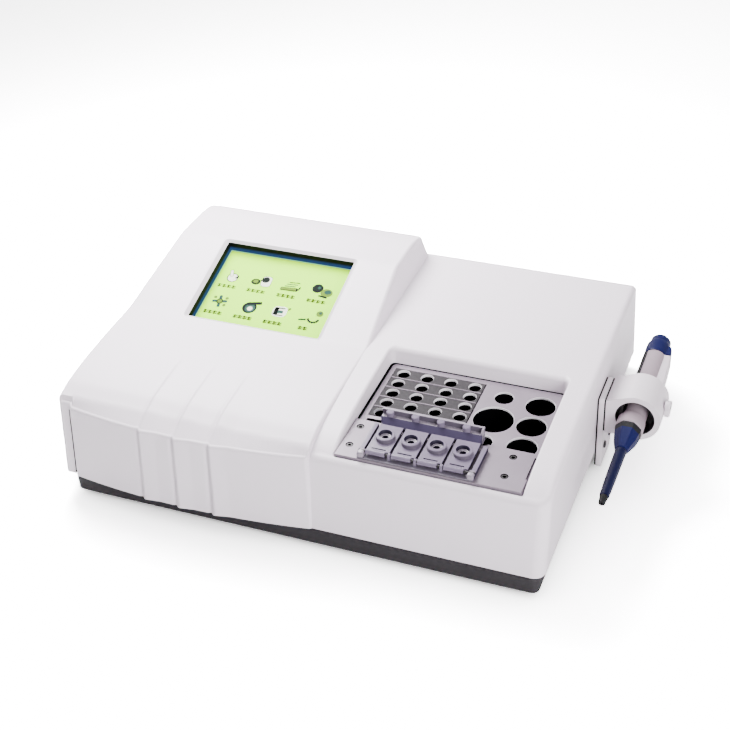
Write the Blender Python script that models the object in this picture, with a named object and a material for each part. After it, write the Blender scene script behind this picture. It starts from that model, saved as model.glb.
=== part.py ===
"""Two-sided bench coagulation analyzer with a pipette in a side holder.

Lengths are metres and +Z is up. The case is drawn from the front left corner of its dark tray:
X runs right along the front, Y runs back, Z rises from the tray's underside. A parent empty then
puts the middle of the whole object's footprint, at the height of its feet, on the origin.
"""
import bmesh
import bpy
from math import atan, cos, pi, radians, sin, tan
from mathutils import Matrix, Vector

# Shared fits
GAP = 0.0003
RUNNING_GAP = 0.00009
OVERRUN = 0.004

# Tray under the case
TRAY_WIDTH = 0.400
TRAY_DEPTH = 0.3185
TRAY_HEIGHT = 0.0142
TRAY_WALL = 0.0028
TRAY_FLOOR = 0.0030
TRAY_CORNER = 0.006
BOSS_RADIUS = 0.0040
FOOT_RADIUS = 0.0095
FOOT_HEIGHT = 0.0060
FOOT_INSET = 0.030

# Top cover: outline, heights and edges
COVER_BOTTOM = 0.0145
COVER_WALL = 0.0026
COVER_LIP = 0.0100
TIGHT_CORNER = 0.003
SOFT_CORNER = 0.010
REAR_CORNER = 0.005
COVER_LEFT = -0.009
COVER_RIGHT = 0.4035
COVER_BOW = 0.0030
MODULE_RIGHT = 0.2130
MODULE_OVERLAP = 0.012
MODULE_EDGE = 0.0035
MODULE_FLARE_SHARE = 0.045
DECK_EDGE = 0.0050
SHOULDER_HEIGHT = 0.093
FACE_TOP = 0.0780
MODULE_HEIGHT = 0.1185
DECK_HEIGHT = 0.0936
DECK_FACE_SETBACK = 0.0010
FRONT_BULGE = 0.0085
BULGE_MIDDLE = 0.108
BULGE_HALF = 0.108
PILLAR_WIDTH = 0.012
PILLAR_SETBACK = 0.0022
SEAM_WIDTH = 0.0008
BROW_DEPTH = 0.0160
BROW_HEIGHT = 0.0857
SIDE_LEAN_SHARE = 0.26
FRONT_LEAN_SHARE = 0.135
DECK_LEAN_SHARE = 0.165
REAR_LEAN_SHARE = 0.170

# Ribs on the front face that fade out up the slope
RIB_COUNT = 3
RIB_FIRST = 0.069
RIB_PITCH = 0.0313
RIB_RISE_WIDTH = 0.0042
RIB_FALL_WIDTH = 0.0130
RIB_HEIGHT = 0.0020
RIB_REACH = 0.086

# Screen
SCREEN_WIDTH = 0.1227
SCREEN_LENGTH = 0.0911
SCREEN_LEFT = 0.0440
SCREEN_FRONT = TRAY_DEPTH * 0.44898
SCREEN_FRONT_HEIGHT = 0.0944
SCREEN_SLOPE = radians(15.0)
SCREEN_RIM = 0.0020
SCREEN_DEPTH = 0.0110
SCREEN_CHAMFER = 0.0022
BEZEL_WALL = 0.0030
TOUCH_THICKNESS = 0.0014
PANEL_THICKNESS = 0.0080
BOARD_THICKNESS = 0.0016
PANEL_MARGIN = 0.0060

# Pocket in the deck and the thermostat block in it
POCKET_LEFT = 0.2320
POCKET_RIGHT = 0.3818
POCKET_FRONT = 0.0170
POCKET_REAR = 0.1468
POCKET_SPLAY = 0.0035
POCKET_WALL = 0.0026
POCKET_CORNER = 0.0040
POCKET_FRONT_CORNER = 0.0010
BLOCK_LEFT_GAP = 0.0021
BLOCK_DROP = 0.0136
BLOCK_TOP = DECK_HEIGHT - BLOCK_DROP
BLOCK_BOTTOM = 0.0320
WELL_FLOOR = 0.0120
WELL_DEPTH = BLOCK_TOP - BLOCK_BOTTOM - WELL_FLOOR
HEATER_THICKNESS = 0.0020
INSERT_LEFT = 0.2383
INSERT_RIGHT = 0.3163
INSERT_REAR = 0.1400
INSERT_FRONT = 0.0735
INSERT_DEPTH = WELL_DEPTH * 0.9444
HOLE_FIRST_X = 0.2473
HOLE_FIRST_Y = 0.1332
HOLE_PITCH_X = 0.02045
HOLE_PITCH_Y = 0.0135
HOLE_COLUMNS = 4
HOLE_ROWS = 5
HOLE_RADIUS = 0.0052
HOLE_DEPTH = WELL_DEPTH * 0.8333
RIDGE_WIDTH = 0.0008
RIDGE_HEIGHT = 0.0005
SMALL_WELL_RADIUS = 0.0078
LARGE_WELL_RADIUS = 0.0163
CUP_RADIUS = 0.0121
WELL_GAP = 0.0024
CUP_GAP = 0.0039
WELL_COLUMN_X = INSERT_RIGHT + WELL_GAP + LARGE_WELL_RADIUS
CUP_COLUMN_X = POCKET_RIGHT - CUP_GAP - CUP_RADIUS
CUP_FIRST_Y = 0.1246
CUP_PITCH_Y = 0.0268
SMALL_WELL_REAR_Y = 0.1270
SMALL_WELL_FRONT_Y = 0.0690
LARGE_WELL_Y = 0.0976

# Measuring channels under four clear lids
FRAME_INSET = 0.0185
FRAME_LEFT = POCKET_LEFT + FRAME_INSET
CHANNEL_COUNT = 4
CHANNEL_PITCH = 0.0208
CHANNEL_EDGE = 0.0046
CHANNEL_FIRST_X = FRAME_LEFT + CHANNEL_EDGE + CHANNEL_PITCH / 2
CHANNEL_Y = 0.0418
CHANNEL_RADIUS = 0.0046
CHANNEL_DEPTH = WELL_DEPTH * 0.7778
PLATE_THICKNESS = 0.0020
PLATE_REAR = 0.0640
PLATE_SIDE_GAP = 0.0012
PLATE_LEFT_GAP = 0.0004
PLATE_SCREW_X_LEFT = 0.2396
PLATE_SCREW_X_RIGHT = 0.3636
PLATE_SCREW_Y_FRONT = 0.0316
PLATE_SCREW_Y_REAR = 0.0550
SCREW_HEAD_RADIUS = 0.0026
SCREW_HEAD_HEIGHT = 0.0016
SCREW_SHANK_RADIUS = 0.0014
SCREW_SHANK_LENGTH = 0.0070
HEX_RADIUS = 0.0013
FRAME_SPARE = 0.0100
FRAME_RIGHT = FRAME_LEFT + CHANNEL_PITCH * CHANNEL_COUNT + FRAME_SPARE
FRAME_FRONT = 0.0178
FRAME_REAR = 0.0640
FRAME_RAIL = 0.0038
FRAME_FLOOR = 0.0010
FRAME_HEIGHT = 0.0042
LEDGE_FRONT = 0.0580
LEDGE_HEIGHT = 0.0062
PIN_Y = 0.0226
PIN_RISE = 0.0032
PIN_RADIUS = 0.0010
KNUCKLE_RADIUS = 0.0021
LID_WIDTH = CHANNEL_PITCH * 0.9327
LID_THICKNESS = 0.0022
LID_FLOOR_GAP = 0.0003
LID_KNUCKLE_WIDTH = CHANNEL_PITCH * 0.5769
FUNNEL_RADIUS = 0.0046
FUNNEL_THROAT = 0.0036
FUNNEL_RIM = 0.0030
FUNNEL_HEIGHT = 0.0058
GUIDE_INSET_LEFT = FRAME_RAIL * 0.79
GUIDE_INSET_RIGHT = 0.0072
GUIDE_LEFT = FRAME_LEFT + GUIDE_INSET_LEFT
GUIDE_RIGHT = FRAME_RIGHT - GUIDE_INSET_RIGHT
GUIDE_FRONT = 0.0643
GUIDE_REAR = 0.0708
GUIDE_HEIGHT = 0.0133
GUIDE_TOP = BLOCK_TOP + GUIDE_HEIGHT
GUIDE_FLUTE_RADIUS = 0.0024
GUIDE_FLUTE_FIRST = FRAME_LEFT + CHANNEL_PITCH * 0.4808

# Optics, stirrer and electronics inside
SLOT_Y = 0.0560
LAMP_BOARD_BOTTOM = 0.0420
LAMP_BOARD_HEIGHT = (BLOCK_TOP - LAMP_BOARD_BOTTOM) * 0.6842
SENSOR_RADIUS = 0.0020
SENSOR_LENGTH = 0.0200
MOTOR_RADIUS = 0.0120
MOTOR_HEIGHT = 0.0230
MAGNET_LENGTH = 0.0200
MAGNET_WIDTH = 0.0050
MAGNET_CAVITY_RADIUS = 0.0130
MAGNET_CAVITY_HEIGHT = 0.0085
SPINDLE_RADIUS = 0.0015
MAIN_BOARD_LEFT = 0.020
MAIN_BOARD_RIGHT = 0.205
MAIN_BOARD_FRONT = 0.050
MAIN_BOARD_REAR = 0.215
MAIN_BOARD_HEIGHT = 0.0100
CHIP_SIDE = 0.0240
CHIP_HEIGHT = 0.0025
BUZZER_RADIUS = 0.0060
BUZZER_HEIGHT = 0.0090
SUPPLY_LEFT = 0.240
SUPPLY_RIGHT = 0.375
SUPPLY_POCKET_GAP = 0.0282
SUPPLY_REAR_GAP = 0.0565
SUPPLY_FRONT = POCKET_REAR + SUPPLY_POCKET_GAP
SUPPLY_REAR = TRAY_DEPTH - SUPPLY_REAR_GAP
SUPPLY_HEIGHT = 0.0400

# Rear panel, in the leaning plane of the rear wall
PANEL_LEFT = 0.050
PANEL_RIGHT = 0.352
PANEL_LOW = 0.0200
PANEL_HIGH = 0.0790
PANEL_PLATE = 0.0020
PANEL_MIDDLE = 0.0495
PANEL_SCREW_INSET = 0.0055
FAN_X = 0.300
FAN_SIDE = 0.050
FAN_DEPTH = 0.015
FAN_BORE = 0.0228
FAN_HUB = 0.0090
FAN_SHAFT = 0.0015
FAN_BLADES = 7
FAN_BLADE = 0.0013
GRILLE_SLOTS = 6
GRILLE_SLOT_WIDTH = 0.0038
GRILLE_SLOT_PITCH = 0.0068
INLET_X = 0.096
INLET_WIDTH = 0.0300
INLET_HEIGHT = 0.0230
INLET_FLANGE = 0.0020
INLET_BODY = 0.0260
INLET_SOCKET_WIDTH = 0.0230
INLET_SOCKET_HEIGHT = 0.0150
INLET_SOCKET_DEPTH = 0.0160
INLET_PIN = 0.0018
SWITCH_X = 0.140
SWITCH_WIDTH = 0.0150
SWITCH_HEIGHT = 0.0210
SWITCH_DEPTH = 0.0140
ROCKER_WIDTH = 0.0112
ROCKER_HEIGHT = 0.0170
PORT_FIRST_X = 0.185
PORT_PITCH = 0.042
PORT_COUNT = 2
PORT_WIDTH = 0.0310
PORT_HEIGHT = 0.0125
PORT_SHELL_WIDTH = 0.0170
PORT_SHELL_HEIGHT = 0.0083
PORT_SHELL_REACH = 0.0055
PORT_DEPTH = 0.0080

# Pipette holder on the right wall
HOLDER_PLATE_THICKNESS = 0.0055
HOLDER_FRONT = 0.1600
HOLDER_REAR = 0.1950
HOLDER_TOP = 0.0705
HOLDER_CORNER = 0.0030
RING_X = 0.4345
RING_Z = 0.0577
RING_RADIUS = 0.0208
RING_BORE = 0.0160
RING_NECK_LOW = 0.0380
HOLDER_SCREW_RADIUS = 0.0032
HOLDER_SCREW_HEAD = 0.0016
KNOB_RADIUS = 0.0062
KNOB_THICKNESS = 0.0042
KNOB_STEM_RADIUS = 0.0022
KNOB_RISE = 0.0040

# Pipette, measured back from the front of its collar along its own axis
PIPETTE_TILT = radians(3.5)
PIPETTE_YAW = radians(-0.7)
PIPETTE_SLIP_X = -0.0022
PIPETTE_SLIP_Z = -0.0037
BODY_RADIUS = 0.0104
BODY_LENGTH = 0.0855
COLLAR_FRONT = -0.0140
COLLAR_RADIUS = 0.0113
COLLAR_BORE = 0.0094
NOSE_RADIUS = 0.0106
NOSE_LENGTH = 0.0300
NOSE_STRAIGHT = 0.0110
NOSE_END_RADIUS = 0.0052
SHAFT_RADIUS = 0.0047
SHAFT_END_RADIUS = 0.0032
SHAFT_LENGTH = 0.0560
TIP_LENGTH = 0.0080
TIP_RADIUS = 0.0023
TIP_BORE = 0.0010
HEAD_RADIUS = 0.0109
HEAD_LENGTH = 0.0160
HEAD_OVERLAP = 0.0040
BUTTON_RADIUS = 0.0086
BUTTON_HEAD = 0.0030
STEM_RADIUS = 0.0036
PLUNGER_TRAVEL = 0.0060
HOOK_WIDTH = 0.0130
HOOK_REACH = 0.0018
STRIP_FRONT = 0.0400
STRIP_REACH = 0.0052

# Facets of round pieces
FINE_STEPS = 32
ROUND_STEPS = 20
SMALL_STEPS = 12
ARC_STEPS = 3

# Crest of each half of the cover, front to back: shares of the way back and of the half's height
BEFORE_SCREEN_SHARES = ((0.114, 0.758), (0.203, 0.770), (0.310, 0.779), (0.458, 0.786), (0.636, 0.790),
                        (0.840, 0.792))
BEHIND_SCREEN_SHARES = ((0.069, 1.000), (0.404, 1.000), (0.553, 0.992), (0.683, 0.968), (0.795, 0.925))
DECK_CREST_SHARES = (
    (0.036, 0.818), (0.050, 0.853), (0.072, 0.888), (0.105, 0.923), (0.150, 0.948),
    (0.210, 0.968), (0.300, 0.986), (0.420, 0.998), (0.520, 1.000), (1.000, 1.000))


def clear_scene():
    """Remove every object that is in the scene."""
    for item in list(bpy.data.objects):
        bpy.data.objects.remove(item, do_unlink=True)


def material(name, color, roughness, metallic=0.0, alpha=1.0):
    """Return a Principled material, made once under its name."""
    found = bpy.data.materials.get(name)
    if found:
        return found
    made = bpy.data.materials.new(name)
    made.use_nodes = True
    shader = made.node_tree.nodes["Principled BSDF"]
    shader.inputs["Base Color"].default_value = (*color, 1.0)
    shader.inputs["Roughness"].default_value = roughness
    shader.inputs["Metallic"].default_value = metallic
    shader.inputs["Alpha"].default_value = alpha
    made.diffuse_color = (*color, alpha)
    return made


def case_white():
    return material("case_white", (0.80, 0.79, 0.81), 0.45)


def tray_grey():
    return material("tray_grey", (0.11, 0.10, 0.12), 0.55)


def rubber_black():
    return material("rubber_black", (0.03, 0.03, 0.03), 0.80)


def bezel_black():
    return material("bezel_black", (0.02, 0.02, 0.03), 0.35)


def screen_glass():
    return material("screen_glass", (0.62, 0.84, 0.30), 0.15)


def board_green():
    return material("board_green", (0.03, 0.20, 0.08), 0.50)


def sheet_steel():
    return material("sheet_steel", (0.55, 0.56, 0.58), 0.40, 1.0)


def block_aluminium():
    return material("block_aluminium", (0.62, 0.61, 0.64), 0.35, 1.0)


def insert_grey():
    return material("insert_grey", (0.24, 0.24, 0.25), 0.50)


def clear_lilac():
    return material("clear_lilac", (0.66, 0.64, 0.80), 0.12, 0.0, 0.45)


def guide_grey():
    return material("guide_grey", (0.62, 0.61, 0.63), 0.40)


def screw_steel():
    return material("screw_steel", (0.45, 0.45, 0.47), 0.30, 1.0)


def fixture_black():
    return material("fixture_black", (0.03, 0.03, 0.035), 0.45)


def holder_white():
    return material("holder_white", (0.82, 0.81, 0.82), 0.40)


def panel_white():
    return material("panel_white", (0.74, 0.74, 0.75), 0.45)


def handle_grey():
    return material("handle_grey", (0.66, 0.64, 0.67), 0.40)


def pipette_blue():
    return material("pipette_blue", (0.035, 0.055, 0.24), 0.35)


def shaft_navy():
    return material("shaft_navy", (0.02, 0.03, 0.13), 0.30)


def add_object(name, mesh_builder, finish, parent, origin=(0.0, 0.0, 0.0)):
    """Make an object from a filled bmesh, with its origin at a point of its parent's frame."""
    mesh = bpy.data.meshes.new(name)
    bmesh.ops.recalc_face_normals(mesh_builder, faces=mesh_builder.faces)
    bmesh.ops.translate(mesh_builder, verts=mesh_builder.verts, vec=-Vector(origin))
    mesh_builder.to_mesh(mesh)
    mesh_builder.free()
    item = bpy.data.objects.new(name, mesh)
    bpy.context.scene.collection.objects.link(item)
    item.parent = parent
    item.location = origin
    if finish:
        mesh.materials.append(finish)
    return item


def smooth_round(item, limit=radians(35.0)):
    item.data.shade_smooth()
    item.data.set_sharp_from_angle(angle=limit)
    return item


def add_empty(name, parent, location=(0.0, 0.0, 0.0), rotation=(0.0, 0.0, 0.0)):
    item = bpy.data.objects.new(name, None)
    bpy.context.scene.collection.objects.link(item)
    item.parent = parent
    item.location = location
    item.rotation_euler = rotation
    return item


def fill_box(mesh, low, high):
    """Add a closed box between two corners."""
    corners = [mesh.verts.new((x, y, z)) for z in (low[2], high[2]) for y in (low[1], high[1])
               for x in (low[0], high[0])]
    for face in ((0, 2, 3, 1), (4, 5, 7, 6), (0, 1, 5, 4), (2, 6, 7, 3), (0, 4, 6, 2), (1, 3, 7, 5)):
        mesh.faces.new([corners[index] for index in face])


def fill_prism(mesh, outline, start, end, axis="Z"):
    """Add a prism: an outline in the plane across the axis, run between two places on it."""
    place = {"Z": lambda a, b, c: (a, b, c), "Y": lambda a, b, c: (a, c, b), "X": lambda a, b,
             c: (c, a, b)}[axis]
    rings = [[mesh.verts.new(place(a, b, c)) for a, b in outline] for c in (start, end)]
    mesh.faces.new(list(reversed(rings[0])))
    mesh.faces.new(rings[1])
    count = len(outline)
    for index in range(count):
        after = (index + 1) % count
        mesh.faces.new((rings[0][index], rings[0][after], rings[1][after], rings[1][index]))


def fill_turned(mesh, profile, centre, axis, steps):
    """Add a turned solid: radius and place pairs along an axis through a centre."""
    turn = {"Z": Matrix.Identity(3), "Y": Matrix.Rotation(-pi / 2, 3, "X"), "X": Matrix.Rotation(pi / 2, 3,
                                                                                                 "Y")}[axis]
    rings = []
    for radius, place in profile:
        ring = []
        for step in range(steps):
            angle = 2 * pi * step / steps
            point = turn @ Vector((radius * cos(angle), radius * sin(angle), place))
            ring.append(mesh.verts.new(point + Vector(centre)))
        rings.append(ring)
    mesh.faces.new(list(reversed(rings[0])))
    mesh.faces.new(rings[-1])
    for below, above in zip(rings, rings[1:]):
        for step in range(steps):
            after = (step + 1) % steps
            mesh.faces.new((below[step], below[after], above[after], above[step]))


def fill_rod(mesh, radius, centre, axis, start, end, steps):
    fill_turned(mesh, ((radius, start), (radius, end)), centre, axis, steps)


def round_rectangle(left, low, right, high, radius, steps=ARC_STEPS, low_radius=None):
    """Outline of a rectangle with round corners, counter-clockwise; the low side can have its own radius."""
    small = radius if low_radius is None else low_radius
    points = []
    corners = ((right - small, low + small, -pi / 2, small), (right - radius, high - radius, 0.0, radius),
               (left + radius, high - radius, pi / 2, radius), (left + small, low + small, pi, small))
    for middle_x, middle_y, start, size in corners:
        for step in range(steps + 1):
            angle = start + pi / 2 * step / steps
            points.append((middle_x + size * cos(angle), middle_y + size * sin(angle)))
    return points


def new_mesh():
    return bmesh.new()


def box_object(name, low, high, finish, parent, origin=(0.0, 0.0, 0.0)):
    mesh = new_mesh()
    fill_box(mesh, low, high)
    return add_object(name, mesh, finish, parent, origin)


def rod_object(name, radius, centre, axis, start, end, finish, parent, origin=(0.0, 0.0, 0.0),
               steps=ROUND_STEPS):
    mesh = new_mesh()
    fill_rod(mesh, radius, centre, axis, start, end, steps)
    return smooth_round(add_object(name, mesh, finish, parent, origin))


def guide(item):
    """Mark an object as a cutter or a tool, which isn't part of the model."""
    item.hide_render = True
    item.display_type = "WIRE"
    return item


def combine(item, tool, operation="DIFFERENCE"):
    """Cut one object by another, or join the two, with an exact Boolean."""
    step = item.modifiers.new(operation.lower() + "_" + tool.name, "BOOLEAN")
    step.operation = operation
    step.solver = "EXACT"
    step.object = guide(tool)
    return item


def interpolate(points, place):
    """Read a height from a list of place and height pairs."""
    if place <= points[0][0]:
        return points[0][1]
    for (start, low), (end, high) in zip(points, points[1:]):
        if place <= end:
            return low + (high - low) * (place - start) / (end - start)
    return points[-1][1]


def rib_wave(x):
    """Share of a rib's height that stands at a place across the front."""
    for index in range(RIB_COUNT):
        along = x - RIB_FIRST - RIB_PITCH * index
        if 0.0 < along <= RIB_RISE_WIDTH:
            return along / RIB_RISE_WIDTH
        if RIB_RISE_WIDTH < along < RIB_RISE_WIDTH + RIB_FALL_WIDTH:
            return 1.0 - (along - RIB_RISE_WIDTH) / RIB_FALL_WIDTH
    return 0.0


def shoulder_inset(z):
    """How far a side wall has leaned in above the shoulder."""
    return SIDE_LEAN_SHARE * max(0.0, z - SHOULDER_HEIGHT)


def case_left(y, z):
    return COVER_LEFT - COVER_BOW * sin(pi * min(max(y / TRAY_DEPTH, 0.0), 1.0)) + shoulder_inset(z)


def module_right(y, z):
    return MODULE_RIGHT - shoulder_inset(z) + MODULE_FLARE_SHARE * max(0.0, SHOULDER_HEIGHT - z)


def module_front(x, z):
    lean = FRONT_LEAN_SHARE * (z - COVER_BOTTOM)
    if x < COVER_LEFT + PILLAR_WIDTH:
        return PILLAR_SETBACK + lean
    bulge = max(0.0, 1.0 - ((x - BULGE_MIDDLE) / BULGE_HALF) ** 2)
    return -FRONT_BULGE * bulge - RIB_HEIGHT * rib_wave(x) + lean


def case_rear(x, z):
    return TRAY_DEPTH + GAP - REAR_LEAN_SHARE * z


def module_crest():
    """Place and height pairs back from the brow, straight along the screen."""
    front = SCREEN_FRONT - SCREEN_RIM
    rear = SCREEN_FRONT + SCREEN_LENGTH * cos(SCREEN_SLOPE) + SCREEN_RIM
    slope = tan(SCREEN_SLOPE)
    before = [(BROW_DEPTH + share * (front - BROW_DEPTH), height * MODULE_HEIGHT)
              for share, height in BEFORE_SCREEN_SHARES]
    along = [(place, SCREEN_FRONT_HEIGHT + slope * (place - SCREEN_FRONT)) for place in (front, rear)]
    behind = [(rear + share * (TRAY_DEPTH - rear), height * MODULE_HEIGHT)
              for share, height in BEHIND_SCREEN_SHARES]
    return [(BROW_DEPTH, BROW_HEIGHT)] + before + along + behind


def module_top(x, y):
    """Height of the screen half: a brow behind the face's upper edge, then the crest with ribs."""
    edge = module_front(x, FACE_TOP)
    if y < BROW_DEPTH:
        rise = (BROW_HEIGHT - FACE_TOP) * (y - edge) / (BROW_DEPTH - edge)
        return FACE_TOP + max(0.0, rise) + RIB_HEIGHT * rib_wave(x) * max(0.0, y - edge) / (BROW_DEPTH - edge)
    fade = max(0.0, 1.0 - (y - BROW_DEPTH) / (RIB_REACH - BROW_DEPTH))
    return interpolate(module_crest(), y) + RIB_HEIGHT * rib_wave(x) * fade


def deck_left(y, z):
    return MODULE_RIGHT - MODULE_OVERLAP


def deck_right(y, z):
    return COVER_RIGHT


def deck_front(x, z):
    return DECK_FACE_SETBACK + DECK_LEAN_SHARE * (z - COVER_BOTTOM)


def deck_top(x, y):
    return interpolate([(share * TRAY_DEPTH, height * DECK_HEIGHT) for share, height in DECK_CREST_SHARES], y)


def corner_shift(a, b, width, depth, radii, inset):
    """Move a plan point near a corner on to the corner's round, keeping rings of equal inset."""
    radius = radii[(1 if a > width / 2 else 0) + (2 if b > depth / 2 else 0)] - inset
    from_left = min(a, width - a)
    from_front = min(b, depth - b)
    if radius <= 0.0 or from_left >= radius or from_front >= radius:
        return a, b
    p = (radius - from_left) / radius
    q = (radius - from_front) / radius
    reach = max(p, q)
    angle = pi / 4 * min(p, q) / reach
    small, large = reach * sin(angle), reach * cos(angle)
    new_p, new_q = (small, large) if q >= p else (large, small)
    new_a = radius * (1.0 - new_p)
    new_b = radius * (1.0 - new_q)
    return (new_a if a <= width - a else width - new_a), (new_b if b <= depth - b else depth - new_b)


def crowned_point(sides, top, radii, across, back, inset, z=None):
    """Plan point at shares across and back of an outline that depends on height, and its height."""
    left, right, front, rear = sides
    height = SHOULDER_HEIGHT if z is None else z
    x, y = COVER_LEFT, BROW_DEPTH
    for turn in range(4):
        low_x, high_x = left(y, height) + inset, right(y, height) - inset
        low_y, high_y = front(x, height) + inset, rear(x, height) - inset
        width, depth = high_x - low_x, high_y - low_y
        a, b = corner_shift(across * width, back * depth, width, depth, radii, inset)
        x = low_x + a
        y = low_y + b
        if z is None:
            height = top(x, y)
    return x, y, height


def crowned_box(name, sides, top, radii, columns, rows, edge, bottom, inset, parent):
    """Closed box with a shaped top, round rim and walls that follow the plan outline."""
    mesh = new_mesh()
    wide, deep = len(columns), len(rows)
    drop = inset

    def shaped(across, back, ring_inset, z=None):
        x, y, height = crowned_point(sides, top, radii, across, back, ring_inset + inset, z)
        return x, y, height

    grid = {}
    for column, across in enumerate(columns):
        for row, back in enumerate(rows):
            x, y, z = shaped(across, back, edge)
            grid[column, row] = mesh.verts.new((x, y, z - drop))
    rim = [(column, 0) for column in range(wide)] + [(wide - 1, row) for row in range(1, deep)]
    rim += [(column, deep - 1) for column in range(wide - 2, -1, -1)]
    rim += [(0, row) for row in range(deep - 2, 0, -1)]
    for column in range(wide - 1):
        for row in range(deep - 1):
            mesh.faces.new((grid[column, row], grid[column + 1, row], grid[column + 1, row + 1],
                            grid[column, row + 1]))
    last = [grid[key] for key in rim]
    rims = []
    for step in range(1, ARC_STEPS + 1):
        angle = pi / 2 * step / ARC_STEPS
        ring = []
        for column, row in rim:
            high = grid[column, row].co.z - edge * (1.0 - cos(angle))
            x, y, z = shaped(columns[column], rows[row], edge * (1.0 - sin(angle)), high)
            ring.append(mesh.verts.new((x, y, high)))
        rims.append(ring)
    shoulder = []
    for (column, row), vertex in zip(rim, rims[-1]):
        high = min(vertex.co.z - GAP, SHOULDER_HEIGHT)
        x, y, z = shaped(columns[column], rows[row], 0.0, high)
        shoulder.append(mesh.verts.new((x, y, high)))
    rims.append(shoulder)
    foot = []
    for column, row in rim:
        x, y, z = shaped(columns[column], rows[row], 0.0, bottom)
        foot.append(mesh.verts.new((x, y, bottom)))
    rims.append(foot)
    count = len(rim)
    for ring in rims:
        for index in range(count):
            after = (index + 1) % count
            mesh.faces.new((last[index], ring[index], ring[after], last[after]))
        last = ring
    mesh.faces.new(list(reversed(last)))
    return add_object(name, mesh, case_white(), parent)


def plan_shares(low, high, places, first, last):
    """Shares of a span: both ends with steps round their corners, and the places between."""
    span = high - low
    start = [0.0, first / span / 2, first / span]
    finish = [1.0 - last / span, 1.0 - last / span / 2, 1.0]
    middle = [(place - low) / span for place in places]
    return start + sorted(share for share in middle if start[-1] < share < finish[0]) + finish


def module_columns(with_ribs):
    places = [COVER_LEFT + PILLAR_WIDTH - SEAM_WIDTH, COVER_LEFT + PILLAR_WIDTH + SEAM_WIDTH]
    places += [COVER_LEFT + (MODULE_RIGHT - COVER_LEFT) * share for share in (0.15, 0.25, 0.74, 0.83, 0.91)]
    if with_ribs:
        for index in range(RIB_COUNT):
            start = RIB_FIRST + RIB_PITCH * index
            places += [start, start + RIB_RISE_WIDTH, start + RIB_RISE_WIDTH + RIB_FALL_WIDTH]
    else:
        places += [RIB_FIRST, BULGE_MIDDLE, RIB_FIRST + RIB_PITCH * RIB_COUNT]
    return plan_shares(COVER_LEFT, MODULE_RIGHT, places, TIGHT_CORNER, TIGHT_CORNER)


def crest_rows(crest, first, last):
    return plan_shares(0.0, TRAY_DEPTH * (1.0 - REAR_LEAN_SHARE * SHOULDER_HEIGHT / TRAY_DEPTH),
                       [place for place, height in crest], first, last)


def cover_halves(name, inset, bottom, parent, with_ribs):
    """The screen half and the deck half of the cover, as two overlapping boxes."""
    module_sides = (case_left, module_right, module_front, case_rear)
    deck_sides = (deck_left, deck_right, deck_front, case_rear)
    deck_crest = [(share * TRAY_DEPTH, height) for share, height in DECK_CREST_SHARES]
    deck_places = [MODULE_RIGHT, POCKET_LEFT, POCKET_RIGHT]
    module_radii = (TIGHT_CORNER, TIGHT_CORNER, SOFT_CORNER, SOFT_CORNER)
    deck_radii = (TIGHT_CORNER, SOFT_CORNER, TIGHT_CORNER, REAR_CORNER)
    left_half = crowned_box(name + "_screen_half", module_sides, module_top, module_radii,
                            module_columns(with_ribs), crest_rows(module_crest(), TIGHT_CORNER, SOFT_CORNER),
                            MODULE_EDGE, bottom, inset, parent)
    right_half = crowned_box(name + "_deck_half", deck_sides, deck_top, deck_radii,
                             plan_shares(MODULE_RIGHT - MODULE_OVERLAP, COVER_RIGHT, deck_places,
                                         TIGHT_CORNER,
                                         SOFT_CORNER),
                             crest_rows(deck_crest, SOFT_CORNER, REAR_CORNER), DECK_EDGE, bottom, inset,
                             parent)
    return combine(left_half, right_half, "UNION")


def pocket_cavity(parent):
    """Space above the block: square at the block and splayed at the sides and the rear above it."""
    mesh = new_mesh()
    high = DECK_HEIGHT + OVERRUN
    spread = POCKET_SPLAY * (high - BLOCK_TOP) / (DECK_HEIGHT - BLOCK_TOP)
    levels = ((BLOCK_TOP, 0.0), (high, spread))
    rings = []
    for z, splay in levels:
        outline = round_rectangle(POCKET_LEFT - splay / 2, POCKET_FRONT - splay / 2, POCKET_RIGHT + splay / 2,
                                  POCKET_REAR + splay, POCKET_CORNER, ARC_STEPS, POCKET_FRONT_CORNER)
        rings.append([mesh.verts.new((x, y, z)) for x, y in outline])
    mesh.faces.new(list(reversed(rings[0])))
    mesh.faces.new(rings[1])
    count = len(rings[0])
    for index in range(count):
        after = (index + 1) % count
        mesh.faces.new((rings[0][index], rings[0][after], rings[1][after], rings[1][index]))
    return add_object("pocket_cavity", mesh, None, parent)


def screen_frame(parent):
    """Empty at the middle of the screen window, on the cover's slope."""
    half = SCREEN_LENGTH / 2
    location = (SCREEN_LEFT + SCREEN_WIDTH / 2, SCREEN_FRONT + half * cos(SCREEN_SLOPE),
                SCREEN_FRONT_HEIGHT + half * sin(SCREEN_SLOPE))
    return add_empty("screen_frame", parent, location, (SCREEN_SLOPE, 0.0, 0.0))


def rear_frame(parent):
    """Empty on the rear wall's outer face, with its own Z up the leaning wall."""
    lean = atan(REAR_LEAN_SHARE)
    return add_empty("rear_frame", parent, (0.0, case_rear(0.0, PANEL_MIDDLE), PANEL_MIDDLE),
                     (lean, 0.0, 0.0))


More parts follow.
